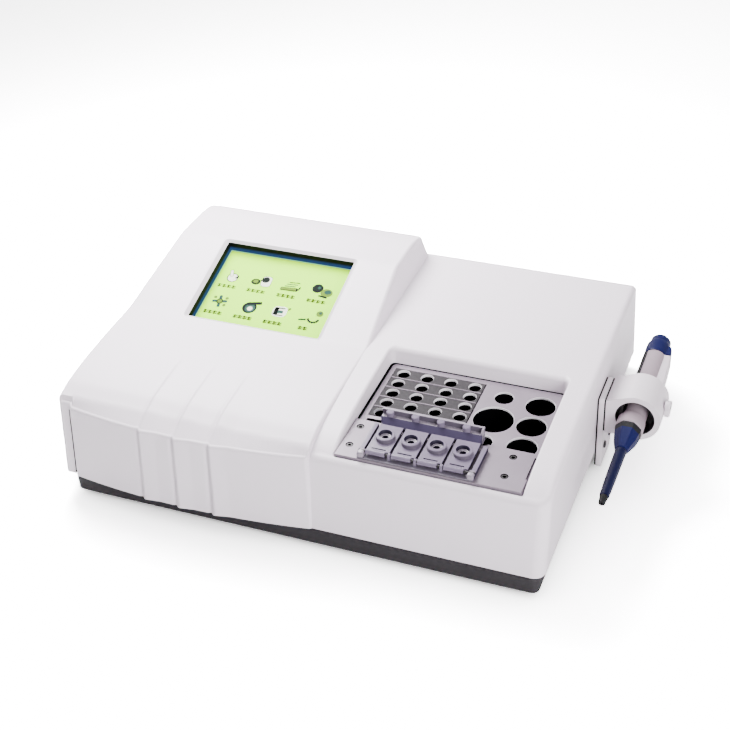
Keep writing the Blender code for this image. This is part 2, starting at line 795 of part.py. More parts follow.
def window_cutter(parent):
    """Screen window with a chamfer round its upper edge."""
    mesh = new_mesh()
    half_x, half_y = SCREEN_WIDTH / 2, SCREEN_LENGTH / 2
    levels = ((-SCREEN_DEPTH, 0.0), (-SCREEN_CHAMFER, 0.0), (OVERRUN, SCREEN_CHAMFER + OVERRUN))
    rings = []
    for z, spread in levels:
        x, y = half_x + spread, half_y + spread
        rings.append([mesh.verts.new(point) for point in ((-x, -y, z), (x, -y, z), (x, y, z), (-x, y, z))])
    mesh.faces.new(list(reversed(rings[0])))
    mesh.faces.new(rings[-1])
    for below, above in zip(rings, rings[1:]):
        for index in range(4):
            after = (index + 1) % 4
            mesh.faces.new((below[index], below[after], above[after], above[index]))
    return add_object("window_cutter", mesh, None, parent)


def panel_opening(parent):
    """Opening in the rear wall that the rear panel fills."""
    low, high = PANEL_LOW - PANEL_MIDDLE, PANEL_HIGH - PANEL_MIDDLE
    return box_object("panel_opening", (PANEL_LEFT, -COVER_WALL - OVERRUN, low), (PANEL_RIGHT, OVERRUN, high),
                      None, parent)


def top_cover(parent, screen, rear):
    """White moulded cover: a shell with the screen window, the pocket and the rear opening."""
    cover = cover_halves("top_cover", 0.0, COVER_BOTTOM, parent, True)
    cover.name = "top_cover"
    hollow = cover_halves("hollow", COVER_WALL, COVER_BOTTOM + COVER_WALL, parent, False)
    surround_low = (POCKET_LEFT - POCKET_WALL - POCKET_SPLAY, -FRONT_BULGE, BLOCK_TOP - POCKET_WALL)
    surround_high = (POCKET_RIGHT + POCKET_WALL + POCKET_SPLAY, POCKET_REAR + POCKET_WALL + POCKET_SPLAY,
                     DECK_HEIGHT + OVERRUN)
    combine(hollow, box_object("pocket_surround", surround_low, surround_high, None, parent))
    combine(cover, hollow)
    combine(cover, pocket_cavity(parent))
    opening = box_object("block_opening", (POCKET_LEFT, POCKET_FRONT, BLOCK_TOP - POCKET_WALL - OVERRUN),
                         (POCKET_RIGHT, POCKET_REAR, BLOCK_TOP + OVERRUN), None, parent)
    combine(cover, opening)
    base_opening = box_object("base_opening", (COVER_LEFT + COVER_LIP, COVER_LIP, -OVERRUN),
                              (COVER_RIGHT - COVER_LIP, TRAY_DEPTH - COVER_LIP,
                               COVER_BOTTOM + COVER_WALL + OVERRUN),
                              None, parent)
    combine(cover, base_opening)
    combine(cover, window_cutter(screen))
    combine(cover, panel_opening(rear))
    return cover


def boss_places():
    """Places of the bosses under the main board, the power supply and the block."""
    inset = 2 * BOSS_RADIUS
    board = [(x, y, MAIN_BOARD_HEIGHT - GAP) for x in (MAIN_BOARD_LEFT + inset, MAIN_BOARD_RIGHT - inset)
             for y in (MAIN_BOARD_FRONT + inset, MAIN_BOARD_REAR - inset)]
    heater = BLOCK_BOTTOM - HEATER_THICKNESS - 2 * GAP
    block = [(x, y, heater) for x in (POCKET_LEFT + inset, POCKET_RIGHT - inset)
             for y in (POCKET_FRONT + inset, POCKET_REAR - inset)]
    return board + block


def base_tray(parent):
    """Dark tray with a floor, low walls and the bosses that carry what is inside."""
    mesh = new_mesh()
    fill_prism(mesh, round_rectangle(0.0, 0.0, TRAY_WIDTH, TRAY_DEPTH, TRAY_CORNER), 0.0, TRAY_HEIGHT)
    tray = add_object("base_tray", mesh, tray_grey(), parent)
    mesh = new_mesh()
    fill_prism(mesh, round_rectangle(TRAY_WALL, TRAY_WALL, TRAY_WIDTH - TRAY_WALL, TRAY_DEPTH - TRAY_WALL,
                                     TRAY_CORNER - TRAY_WALL), TRAY_FLOOR, TRAY_HEIGHT + OVERRUN)
    combine(tray, add_object("tray_hollow", mesh, None, parent))
    mesh = new_mesh()
    for x, y, top in boss_places():
        fill_rod(mesh, BOSS_RADIUS, (x, y, 0.0), "Z", TRAY_FLOOR / 2, top, SMALL_STEPS)
    combine(tray, add_object("tray_bosses", mesh, None, parent), "UNION")
    return tray


def feet(parent):
    """Four rubber feet under the tray."""
    places = [(x, y) for y in (FOOT_INSET, TRAY_DEPTH - FOOT_INSET) for x in (FOOT_INSET,
                                                                              TRAY_WIDTH - FOOT_INSET)]
    for index, (x, y) in enumerate(places):
        mesh = new_mesh()
        profile = ((FOOT_RADIUS, -FOOT_HEIGHT - GAP), (FOOT_RADIUS, -FOOT_HEIGHT / 3), (FOOT_RADIUS * 0.86,
                                                                                        -GAP))
        fill_turned(mesh, profile, (x, y, 0.0), "Z", ROUND_STEPS)
        smooth_round(add_object("foot_%d" % (index + 1), mesh, rubber_black(), parent, (x, y, 0.0)))


def display(screen):
    """Bezel, touch panel, screen panel and its board, stacked down from the cover's window."""
    half_x, half_y = SCREEN_WIDTH / 2 + GAP, SCREEN_LENGTH / 2 + GAP
    top = -COVER_WALL - 2 * GAP
    floor = -SCREEN_DEPTH
    outer_x, outer_y = half_x + BEZEL_WALL, half_y + BEZEL_WALL
    bezel = box_object("display_bezel", (-outer_x, -outer_y, floor), (outer_x, outer_y, top),
                       bezel_black(), screen)
    combine(bezel, box_object("bezel_window", (-half_x, -half_y, floor - OVERRUN), (half_x, half_y,
                                                                                    top + OVERRUN),
                              None, screen))
    touch_top = floor - GAP
    touch_low = touch_top - TOUCH_THICKNESS
    box_object("touch_panel", (-outer_x, -outer_y, touch_low), (outer_x, outer_y, touch_top),
               screen_glass(), screen)
    wide_x, wide_y = outer_x + PANEL_MARGIN, outer_y + PANEL_MARGIN
    panel_top = touch_low - GAP
    panel_low = panel_top - PANEL_THICKNESS
    box_object("screen_panel", (-wide_x, -wide_y, panel_low), (wide_x, wide_y, panel_top), sheet_steel(),
               screen)
    board_top = panel_low - GAP
    box_object("display_board", (-wide_x, -wide_y, board_top - BOARD_THICKNESS), (wide_x, wide_y, board_top),
               board_green(), screen)


def hole_places():
    return [(HOLE_FIRST_X + HOLE_PITCH_X * column, HOLE_FIRST_Y - HOLE_PITCH_Y * row)
            for row in range(HOLE_ROWS) for column in range(HOLE_COLUMNS)]


def channel_places():
    return [CHANNEL_FIRST_X + CHANNEL_PITCH * index for index in range(CHANNEL_COUNT)]


def well_places():
    """Place and radius of each reagent well."""
    wells = [(WELL_COLUMN_X, SMALL_WELL_REAR_Y, SMALL_WELL_RADIUS), (WELL_COLUMN_X, LARGE_WELL_Y,
                                                                     LARGE_WELL_RADIUS),
             (WELL_COLUMN_X, SMALL_WELL_FRONT_Y, SMALL_WELL_RADIUS)]
    return wells + [(CUP_COLUMN_X, CUP_FIRST_Y - CUP_PITCH_Y * row, CUP_RADIUS) for row in range(3)]


def incubation_block(parent):
    """Aluminium thermostat block with the insert's bed, the reagent wells and the channels."""
    mesh = new_mesh()
    fill_prism(mesh, round_rectangle(POCKET_LEFT + BLOCK_LEFT_GAP, POCKET_FRONT + GAP, POCKET_RIGHT - GAP,
                                     POCKET_REAR - GAP, POCKET_CORNER, ARC_STEPS, POCKET_FRONT_CORNER),
               BLOCK_BOTTOM, BLOCK_TOP)
    block = add_object("incubation_block", mesh, block_aluminium(), parent)
    mesh = new_mesh()
    fill_box(mesh, (INSERT_LEFT, INSERT_FRONT, BLOCK_TOP - INSERT_DEPTH), (INSERT_RIGHT, INSERT_REAR,
                                                                          BLOCK_TOP + OVERRUN))
    for x, y, radius in well_places():
        steps = FINE_STEPS if radius > SMALL_WELL_RADIUS else ROUND_STEPS
        fill_rod(mesh, radius, (x, y, 0.0), "Z", BLOCK_TOP - WELL_DEPTH, BLOCK_TOP + OVERRUN, steps)
    for x in channel_places():
        fill_rod(mesh, CHANNEL_RADIUS, (x, CHANNEL_Y, 0.0), "Z", BLOCK_TOP - CHANNEL_DEPTH,
                 BLOCK_TOP + OVERRUN,
                 ROUND_STEPS)
    for x in (PLATE_SCREW_X_LEFT, PLATE_SCREW_X_RIGHT):
        for y in (PLATE_SCREW_Y_FRONT, PLATE_SCREW_Y_REAR):
            fill_rod(mesh, SCREW_SHANK_RADIUS + GAP, (x, y, 0.0), "Z", BLOCK_TOP - SCREW_SHANK_LENGTH,
                     BLOCK_TOP + OVERRUN, SMALL_STEPS)
    fill_rod(mesh, MAGNET_CAVITY_RADIUS, (WELL_COLUMN_X, LARGE_WELL_Y, 0.0), "Z", BLOCK_BOTTOM - OVERRUN,
             BLOCK_BOTTOM + MAGNET_CAVITY_HEIGHT, ROUND_STEPS)
    half = BOARD_THICKNESS / 2 + GAP
    fill_box(mesh, (channel_places()[0] - CHANNEL_PITCH / 2, SLOT_Y - half, BLOCK_BOTTOM - OVERRUN),
             (channel_places()[-1] + CHANNEL_PITCH / 2, SLOT_Y + half,
              LAMP_BOARD_BOTTOM + LAMP_BOARD_HEIGHT + GAP))
    fill_rod(mesh, SENSOR_RADIUS + GAP, (0.0, SMALL_WELL_FRONT_Y,
                                         (BLOCK_BOTTOM + BLOCK_TOP) / 2 - WELL_DEPTH / 2),
             "X", POCKET_RIGHT - SENSOR_LENGTH, POCKET_RIGHT + OVERRUN, SMALL_STEPS)
    combine(block, add_object("block_cuts", mesh, None, parent))
    return block


def cuvette_insert(parent):
    """Dark insert with the grid of cuvette holes and fine ridges between its rows."""
    mesh = new_mesh()
    fill_box(mesh, (INSERT_LEFT + GAP, INSERT_FRONT + GAP, BLOCK_TOP - INSERT_DEPTH + GAP),
             (INSERT_RIGHT - GAP, INSERT_REAR - GAP, BLOCK_TOP + GAP))
    insert = add_object("cuvette_insert", mesh, insert_grey(), parent)
    mesh = new_mesh()
    for row in range(HOLE_ROWS - 1):
        y = HOLE_FIRST_Y - HOLE_PITCH_Y * (row + 1) + HOLE_PITCH_Y / 2
        fill_box(mesh, (INSERT_LEFT + 2 * GAP, y - RIDGE_WIDTH / 2, BLOCK_TOP - GAP),
                 (INSERT_RIGHT - 2 * GAP, y + RIDGE_WIDTH / 2, BLOCK_TOP + GAP + RIDGE_HEIGHT))
    combine(insert, add_object("insert_ridges", mesh, None, parent), "UNION")
    mesh = new_mesh()
    for x, y in hole_places():
        fill_rod(mesh, HOLE_RADIUS, (x, y, 0.0), "Z", BLOCK_TOP - HOLE_DEPTH, BLOCK_TOP + OVERRUN,
                 ROUND_STEPS)
    combine(insert, add_object("insert_holes", mesh, None, parent))
    return insert


def heater_plate(parent):
    """Heater under the block, holed for the stirrer's spindle."""
    top = BLOCK_BOTTOM - GAP
    left = POCKET_LEFT + BLOCK_LEFT_GAP
    plate = box_object("heater_plate", (left, POCKET_FRONT + GAP, top - HEATER_THICKNESS),
                       (POCKET_RIGHT - GAP, POCKET_REAR - GAP, top), fixture_black(), parent)
    mesh = new_mesh()
    fill_rod(mesh, MOTOR_RADIUS / 2, (WELL_COLUMN_X, LARGE_WELL_Y, 0.0), "Z",
             top - HEATER_THICKNESS - OVERRUN,
             top + OVERRUN, ROUND_STEPS)
    return combine(plate, add_object("spindle_hole", mesh, None, parent))


def stirrer(parent):
    """Motor on the tray floor and the magnet that it spins under the large well."""
    centre = (WELL_COLUMN_X, LARGE_WELL_Y, 0.0)
    floor = TRAY_FLOOR + GAP
    motor_top = floor + MOTOR_HEIGHT
    rod_object("stirrer_motor", MOTOR_RADIUS, centre, "Z", floor, motor_top, sheet_steel(), parent)
    middle = BLOCK_BOTTOM + MAGNET_CAVITY_HEIGHT / 2
    mesh = new_mesh()
    fill_box(mesh, (WELL_COLUMN_X - MAGNET_LENGTH / 2, LARGE_WELL_Y - MAGNET_WIDTH / 2,
                    middle - MAGNET_WIDTH / 2),
             (WELL_COLUMN_X + MAGNET_LENGTH / 2, LARGE_WELL_Y + MAGNET_WIDTH / 2, middle + MAGNET_WIDTH / 2))
    magnet = add_object("stirrer_magnet", mesh, screw_steel(), parent, (WELL_COLUMN_X, LARGE_WELL_Y, middle))
    mesh = new_mesh()
    fill_rod(mesh, SPINDLE_RADIUS, centre, "Z", motor_top + GAP, middle, SMALL_STEPS)
    combine(magnet, add_object("stirrer_spindle", mesh, None, parent), "UNION")


def optics(parent):
    """Lamp board in front of the channels, detector board in its slot behind them, and the probe."""
    left = channel_places()[0] - CHANNEL_PITCH / 2 + GAP
    right = channel_places()[-1] + CHANNEL_PITCH / 2 - GAP
    rear = POCKET_FRONT
    box_object("lamp_board", (left, rear - BOARD_THICKNESS, LAMP_BOARD_BOTTOM),
               (right, rear, LAMP_BOARD_BOTTOM + LAMP_BOARD_HEIGHT), board_green(), parent)
    box_object("detector_board", (left, SLOT_Y - BOARD_THICKNESS / 2, BLOCK_BOTTOM),
               (right, SLOT_Y + BOARD_THICKNESS / 2, LAMP_BOARD_BOTTOM + LAMP_BOARD_HEIGHT), board_green(),
               parent)
    height = (BLOCK_BOTTOM + BLOCK_TOP) / 2 - WELL_DEPTH / 2
    rod_object("temperature_probe", SENSOR_RADIUS, (0.0, SMALL_WELL_FRONT_Y, height), "X",
               POCKET_RIGHT - SENSOR_LENGTH + GAP, POCKET_RIGHT + SENSOR_RADIUS, screw_steel(), parent,
               steps=SMALL_STEPS)


def channel_plate(parent):
    """Aluminium plate over the channels, holed for its screws and cut out at the front small well."""
    low, high = BLOCK_TOP + GAP, BLOCK_TOP + GAP + PLATE_THICKNESS
    plate = box_object("channel_plate", (POCKET_LEFT + PLATE_LEFT_GAP, POCKET_FRONT + PLATE_SIDE_GAP, low),
                       (POCKET_RIGHT - PLATE_SIDE_GAP, PLATE_REAR, high), block_aluminium(), parent)
    mesh = new_mesh()
    fill_rod(mesh, SMALL_WELL_RADIUS + GAP, (WELL_COLUMN_X, SMALL_WELL_FRONT_Y, 0.0), "Z", low - OVERRUN,
             high + OVERRUN, ROUND_STEPS)
    for x in channel_places():
        fill_rod(mesh, CHANNEL_RADIUS, (x, CHANNEL_Y, 0.0), "Z", low - OVERRUN, high + OVERRUN, ROUND_STEPS)
    for x in (PLATE_SCREW_X_LEFT, PLATE_SCREW_X_RIGHT):
        for y in (PLATE_SCREW_Y_FRONT, PLATE_SCREW_Y_REAR):
            fill_rod(mesh, SCREW_HEAD_RADIUS + GAP, (x, y, 0.0), "Z", low - OVERRUN, high + OVERRUN,
                     ROUND_STEPS)
    return combine(plate, add_object("plate_cuts", mesh, None, parent))


def socket_screw(name, place, parent, radius=SCREW_HEAD_RADIUS, head=SCREW_HEAD_HEIGHT,
                 length=SCREW_SHANK_LENGTH):
    """Screw with a hex socket, its head on the given place and its shank below it."""
    mesh = new_mesh()
    shank = min(SCREW_SHANK_RADIUS, radius / 2)
    fill_turned(mesh, ((shank, -length), (shank, 0.0), (radius, 0.0), (radius, head)), place, "Z",
                SMALL_STEPS)
    screw = add_object(name, mesh, screw_steel(), parent, place)
    mesh = new_mesh()
    fill_rod(mesh, HEX_RADIUS, place, "Z", head / 2, head + OVERRUN, 6)
    combine(screw, add_object(name + "_socket", mesh, None, parent))
    return smooth_round(screw)


def plate_screws(parent):
    places = [(x, y) for x in (PLATE_SCREW_X_LEFT, PLATE_SCREW_X_RIGHT)
              for y in (PLATE_SCREW_Y_FRONT, PLATE_SCREW_Y_REAR)]
    for index, (x, y) in enumerate(places):
        socket_screw("plate_screw_%d" % (index + 1), (x, y, BLOCK_TOP + GAP), parent,
                     length=SCREW_SHANK_LENGTH - 2 * GAP)


def plate_top():
    return BLOCK_TOP + GAP + PLATE_THICKNESS


def pin_height():
    return plate_top() + GAP + FRAME_FLOOR + PIN_RISE


def lid_frame(parent):
    """Clear frame round the lids: two rails, a sloped ledge at the guide, a floor and the fixed knuckles."""
    low = plate_top() + GAP
    rail_top = low + FRAME_HEIGHT
    floor_top = low + FRAME_FLOOR
    ledge_top = low + LEDGE_HEIGHT
    mesh = new_mesh()
    profile = ((LEDGE_FRONT, low), (FRAME_REAR, low), (FRAME_REAR, ledge_top), (LEDGE_FRONT, rail_top - GAP))
    fill_prism(mesh, profile, GUIDE_LEFT, GUIDE_RIGHT, "X")
    frame = add_object("lid_frame", mesh, clear_lilac(), parent)
    mesh = new_mesh()
    fill_box(mesh, (FRAME_LEFT, FRAME_FRONT, low), (FRAME_LEFT + FRAME_RAIL, LEDGE_FRONT + GAP, rail_top))
    combine(frame, add_object("frame_left_rail", mesh, None, parent), "UNION")
    mesh = new_mesh()
    fill_box(mesh, (FRAME_RIGHT - FRAME_RAIL, FRAME_FRONT, low), (FRAME_RIGHT, LEDGE_FRONT + GAP, rail_top))
    combine(frame, add_object("frame_right_rail", mesh, None, parent), "UNION")
    mesh = new_mesh()
    fill_box(mesh, (FRAME_LEFT + GAP, FRAME_FRONT, low), (FRAME_RIGHT - GAP, PIN_Y + KNUCKLE_RADIUS,
                                                          floor_top))
    combine(frame, add_object("frame_floor", mesh, None, parent), "UNION")
    for index in range(CHANNEL_COUNT + 1):
        middle = CHANNEL_FIRST_X + CHANNEL_PITCH * (index - 0.5)
        half = (CHANNEL_PITCH - LID_KNUCKLE_WIDTH) / 2 - GAP
        left = max(middle - half, FRAME_LEFT + FRAME_RAIL / 2)
        right = min(middle + half, FRAME_RIGHT - FRAME_RAIL / 2)
        mesh = new_mesh()
        outline = ((PIN_Y - KNUCKLE_RADIUS, floor_top - GAP), (PIN_Y + KNUCKLE_RADIUS, floor_top - GAP),
                   (PIN_Y + KNUCKLE_RADIUS, pin_height()), (PIN_Y + KNUCKLE_RADIUS / 2,
                                                            pin_height() + KNUCKLE_RADIUS),
                   (PIN_Y - KNUCKLE_RADIUS / 2, pin_height() + KNUCKLE_RADIUS), (PIN_Y - KNUCKLE_RADIUS,
                                                                                 pin_height()))
        fill_prism(mesh, outline, left, right, "X")
        combine(frame, add_object("frame_knuckle_%d" % (index + 1), mesh, None, parent), "UNION")
    mesh = new_mesh()
    fill_rod(mesh, PIN_RADIUS + RUNNING_GAP, (0.0, PIN_Y, pin_height()), "X", FRAME_LEFT + GAP,
             FRAME_RIGHT + OVERRUN,
             SMALL_STEPS)
    combine(frame, add_object("frame_pin_bore", mesh, None, parent))
    return frame


def lid_pin(parent):
    rod_object("lid_pin", PIN_RADIUS, (0.0, PIN_Y, pin_height()), "X", FRAME_LEFT + 2 * GAP,
               FRAME_RIGHT - GAP,
               screw_steel(), parent, steps=SMALL_STEPS)


def channel_lid(index, parent):
    """Clear flip lid with a funnel over its channel and one knuckle on the pin."""
    x = channel_places()[index]
    low = plate_top() + GAP + LID_FLOOR_GAP
    top = low + FRAME_HEIGHT
    bottom = top - LID_THICKNESS
    half = LID_WIDTH / 2
    pin = (x, PIN_Y, pin_height())
    name = "channel_lid_%d" % (index + 1)
    lid = box_object(name, (x - half, PIN_Y + KNUCKLE_RADIUS + 2 * GAP, bottom),
                     (x + half, LEDGE_FRONT - GAP, top),
                     clear_lilac(), parent, pin)
    mesh = new_mesh()
    knuckle = LID_KNUCKLE_WIDTH / 2 - GAP
    fill_rod(mesh, KNUCKLE_RADIUS, (0.0, PIN_Y, pin_height()), "X", x - knuckle, x + knuckle, SMALL_STEPS)
    combine(lid, add_object(name + "_knuckle", mesh, None, parent), "UNION")
    mesh = new_mesh()
    fill_box(mesh, (x - knuckle, PIN_Y, bottom), (x + knuckle, PIN_Y + 2 * KNUCKLE_RADIUS, top))
    combine(lid, add_object(name + "_leaf", mesh, None, parent), "UNION")
    mesh = new_mesh()
    rim = FUNNEL_RADIUS + FUNNEL_RIM
    fill_turned(mesh, ((FUNNEL_THROAT + FUNNEL_RIM, low), (rim, bottom), (rim, top + FUNNEL_HEIGHT * 0.5),
                       (rim - FUNNEL_RIM / 4, top + FUNNEL_HEIGHT * 0.65)),
                (x, CHANNEL_Y, 0.0), "Z", ROUND_STEPS)
    combine(lid, add_object(name + "_boss", mesh, None, parent), "UNION")
    mesh = new_mesh()
    fill_turned(mesh, ((FUNNEL_THROAT, low - OVERRUN), (FUNNEL_THROAT, bottom), (FUNNEL_RADIUS,
                                                                                 top + OVERRUN)),
                (x, CHANNEL_Y, 0.0), "Z", ROUND_STEPS)
    combine(lid, add_object(name + "_funnel", mesh, None, parent))
    mesh = new_mesh()
    fill_rod(mesh, PIN_RADIUS + RUNNING_GAP, (0.0, PIN_Y, pin_height()), "X", x - CHANNEL_PITCH,
             x + CHANNEL_PITCH,
             SMALL_STEPS)
    combine(lid, add_object(name + "_bore", mesh, None, parent))
    return lid


def tip_guide(parent):
    """Fluted bar behind the lids that guides a pipette's tip."""
    guide_bar = box_object("tip_guide", (GUIDE_LEFT, GUIDE_FRONT, BLOCK_TOP + 2 * GAP),
                           (GUIDE_RIGHT, GUIDE_REAR, GUIDE_TOP), guide_grey(), parent)
    mesh = new_mesh()
    for index in range(CHANNEL_COUNT):
        x = GUIDE_FLUTE_FIRST + CHANNEL_PITCH * index
        fill_rod(mesh, GUIDE_FLUTE_RADIUS, (x, GUIDE_FRONT, 0.0), "Z", plate_top() + LEDGE_HEIGHT + 2 * GAP,
                 GUIDE_TOP - GAP, SMALL_STEPS)
    return combine(guide_bar, add_object("guide_flutes", mesh, None, parent), "UNION")


def electronics(parent):
    """Main board with its chips and buzzer, and the power supply."""
    top = MAIN_BOARD_HEIGHT + BOARD_THICKNESS
    board = box_object("main_board", (MAIN_BOARD_LEFT, MAIN_BOARD_FRONT, MAIN_BOARD_HEIGHT),
                       (MAIN_BOARD_RIGHT, MAIN_BOARD_REAR, top), board_green(), parent)
    mesh = new_mesh()
    for share in (0.25, 0.70):
        x = MAIN_BOARD_LEFT + (MAIN_BOARD_RIGHT - MAIN_BOARD_LEFT) * share
        y = MAIN_BOARD_FRONT + (MAIN_BOARD_REAR - MAIN_BOARD_FRONT) * (1.0 - share)
        fill_box(mesh, (x, y, top - BOARD_THICKNESS / 2), (x + CHIP_SIDE, y + CHIP_SIDE, top + CHIP_HEIGHT))
    combine(board, add_object("board_chips", mesh, None, parent), "UNION")
    x = MAIN_BOARD_RIGHT - 4 * BUZZER_RADIUS
    y = MAIN_BOARD_REAR - 4 * BUZZER_RADIUS
    rod_object("buzzer", BUZZER_RADIUS, (x, y, 0.0), "Z", top + GAP, top + GAP + BUZZER_HEIGHT,
               fixture_black(),
               parent, steps=ROUND_STEPS)
    floor = TRAY_FLOOR + GAP
    box_object("power_supply", (SUPPLY_LEFT, SUPPLY_FRONT, floor), (SUPPLY_RIGHT, SUPPLY_REAR,
                                                                    floor + SUPPLY_HEIGHT),
               sheet_steel(), parent)


def rear_panel(rear):
    """Painted steel panel in the rear opening, with cut-outs for what it carries."""
    low, high = PANEL_LOW - PANEL_MIDDLE, PANEL_HIGH - PANEL_MIDDLE
    panel = box_object("rear_panel", (PANEL_LEFT + GAP, -PANEL_PLATE, low + GAP),
                       (PANEL_RIGHT - GAP, 0.0, high - GAP), panel_white(), rear)
    mesh = new_mesh()
    for index in range(GRILLE_SLOTS):
        x = FAN_X + GRILLE_SLOT_PITCH * (index - (GRILLE_SLOTS - 1) / 2)
        half = FAN_BORE * 0.92 * cos(pi / 2 * abs(index - (GRILLE_SLOTS - 1) / 2) / GRILLE_SLOTS)
        fill_box(mesh, (x - GRILLE_SLOT_WIDTH / 2, -PANEL_PLATE - OVERRUN, -half),
                 (x + GRILLE_SLOT_WIDTH / 2, OVERRUN, half))
    fill_box(mesh, (INLET_X - INLET_WIDTH / 2 + INLET_FLANGE, -PANEL_PLATE - OVERRUN,
                    -INLET_HEIGHT / 2 + INLET_FLANGE),
             (INLET_X + INLET_WIDTH / 2 - INLET_FLANGE, OVERRUN, INLET_HEIGHT / 2 - INLET_FLANGE))
    fill_box(mesh, (SWITCH_X - SWITCH_WIDTH / 2 + INLET_FLANGE / 2, -PANEL_PLATE - OVERRUN,
                    -SWITCH_HEIGHT / 2 + INLET_FLANGE / 2),
             (SWITCH_X + SWITCH_WIDTH / 2 - INLET_FLANGE / 2, OVERRUN, SWITCH_HEIGHT / 2 - INLET_FLANGE / 2))
    for index in range(PORT_COUNT):
        x = PORT_FIRST_X + PORT_PITCH * index
        fill_box(mesh, (x - PORT_SHELL_WIDTH / 2 - 2 * GAP, -PANEL_PLATE - OVERRUN,
                        -PORT_SHELL_HEIGHT / 2 - 2 * GAP),
                 (x + PORT_SHELL_WIDTH / 2 + 2 * GAP, OVERRUN, PORT_SHELL_HEIGHT / 2 + 2 * GAP))
    for x, z in panel_screw_places():
        fill_rod(mesh, SCREW_SHANK_RADIUS + GAP, (x, 0.0, z), "Y", -PANEL_PLATE - OVERRUN, OVERRUN,
                 SMALL_STEPS)
    return combine(panel, add_object("panel_cuts", mesh, None, rear))


def panel_screw_places():
    low, high = PANEL_LOW - PANEL_MIDDLE + PANEL_SCREW_INSET, PANEL_HIGH - PANEL_MIDDLE - PANEL_SCREW_INSET
    return [(x, z) for x in (PANEL_LEFT + PANEL_SCREW_INSET,
                             PANEL_RIGHT - PANEL_SCREW_INSET) for z in (low, high)]


def panel_screws(rear):
    """Screws through the panel's corners, heads outside."""
    for index, (x, z) in enumerate(panel_screw_places()):
        mesh = new_mesh()
        profile = ((SCREW_SHANK_RADIUS, -SCREW_SHANK_LENGTH), (SCREW_SHANK_RADIUS, GAP),
                   (SCREW_HEAD_RADIUS, GAP),
                   (SCREW_HEAD_RADIUS, SCREW_HEAD_HEIGHT), (SCREW_HEAD_RADIUS / 2, SCREW_HEAD_HEIGHT + GAP))
        fill_turned(mesh, profile, (x, 0.0, z), "Y", SMALL_STEPS)
        smooth_round(add_object("panel_screw_%d" % (index + 1), mesh, screw_steel(), rear, (x, 0.0, z)))


def cooling_fan(rear):
    """Fan housing behind the grille and the rotor that turns in it."""
    front = -PANEL_PLATE - GAP
    half = FAN_SIDE / 2
    housing = box_object("fan_housing", (FAN_X - half, front - FAN_DEPTH, -half), (FAN_X + half, front, half),
                         fixture_black(), rear)
    mesh = new_mesh()
    fill_rod(mesh, FAN_BORE, (FAN_X, 0.0, 0.0), "Y", front - FAN_DEPTH - OVERRUN, front + OVERRUN, FINE_STEPS)
    combine(housing, add_object("fan_bore", mesh, None, rear))
    mesh = new_mesh()
    arm = FAN_SHAFT * 2
    inner = front - FAN_DEPTH
    fill_box(mesh, (FAN_X - half + GAP, inner, -arm), (FAN_X + half - GAP, inner + arm, arm))
    combine(housing, add_object("fan_arm", mesh, None, rear), "UNION")
    mesh = new_mesh()
    fill_rod(mesh, FAN_SHAFT + RUNNING_GAP, (FAN_X, 0.0, 0.0), "Y", inner - OVERRUN, inner + 2 * arm,
             SMALL_STEPS)
    combine(housing, add_object("fan_bearing", mesh, None, rear))
    mesh = new_mesh()
    hub_start, hub_end = inner + arm + GAP, front - 2 * GAP
    profile = ((FAN_SHAFT, inner), (FAN_SHAFT, hub_start), (FAN_HUB, hub_start), (FAN_HUB, hub_end))
    fill_turned(mesh, profile, (FAN_X, 0.0, 0.0), "Y", ROUND_STEPS)
    rotor = smooth_round(add_object("fan_rotor", mesh, fixture_black(), rear, (FAN_X, 0.0, 0.0)))
    for index in range(FAN_BLADES):
        mesh = new_mesh()
        turn = Matrix.Rotation(2 * pi * index / FAN_BLADES, 4, "Y") @ Matrix.Rotation(radians(35.0), 4, "Z")
        depth = (hub_end - hub_start) / 2 - GAP
        fill_box(mesh, (-FAN_BLADE / 2, -depth, FAN_HUB * 0.7), (FAN_BLADE / 2, depth, FAN_BORE - 3 * GAP))
        bmesh.ops.transform(mesh, matrix=turn, verts=mesh.verts)
        bmesh.ops.translate(mesh, verts=mesh.verts, vec=(FAN_X, (hub_start + hub_end) / 2, 0.0))
        combine(rotor, add_object("fan_blade_%d" % (index + 1), mesh, None, rear), "UNION")


def mains_inlet(rear):
    """Power inlet: a flange, a body behind the panel and a socket with three pins."""
    half_x, half_z = INLET_WIDTH / 2, INLET_HEIGHT / 2
    inlet = box_object("mains_inlet", (INLET_X - half_x, GAP, -half_z), (INLET_X + half_x,
                                                                         GAP + INLET_FLANGE, half_z),
                       fixture_black(), rear)
    mesh = new_mesh()
    fill_box(mesh, (INLET_X - half_x + INLET_FLANGE + GAP, -INLET_BODY, -half_z + INLET_FLANGE + GAP),
             (INLET_X + half_x - INLET_FLANGE - GAP, 2 * GAP, half_z - INLET_FLANGE - GAP))
    combine(inlet, add_object("inlet_body", mesh, None, rear), "UNION")
    mesh = new_mesh()
    socket_x, socket_z = INLET_SOCKET_WIDTH / 2, INLET_SOCKET_HEIGHT / 2
    fill_box(mesh, (INLET_X - socket_x, GAP + INLET_FLANGE - INLET_SOCKET_DEPTH, -socket_z),
             (INLET_X + socket_x, GAP + INLET_FLANGE + OVERRUN, socket_z))
    combine(inlet, add_object("inlet_socket", mesh, None, rear))
    for index in (-1, 0, 1):
        x = INLET_X + index * socket_x * 0.58
        z = socket_z * (0.25 if index else -0.15)
        mesh = new_mesh()
        fill_box(mesh, (x - INLET_PIN / 2, -INLET_SOCKET_DEPTH - GAP, z - INLET_PIN),
                 (x + INLET_PIN / 2, -INLET_FLANGE, z + INLET_PIN))
        combine(inlet, add_object("inlet_pin_%d" % (index + 2), mesh, None, rear), "UNION")


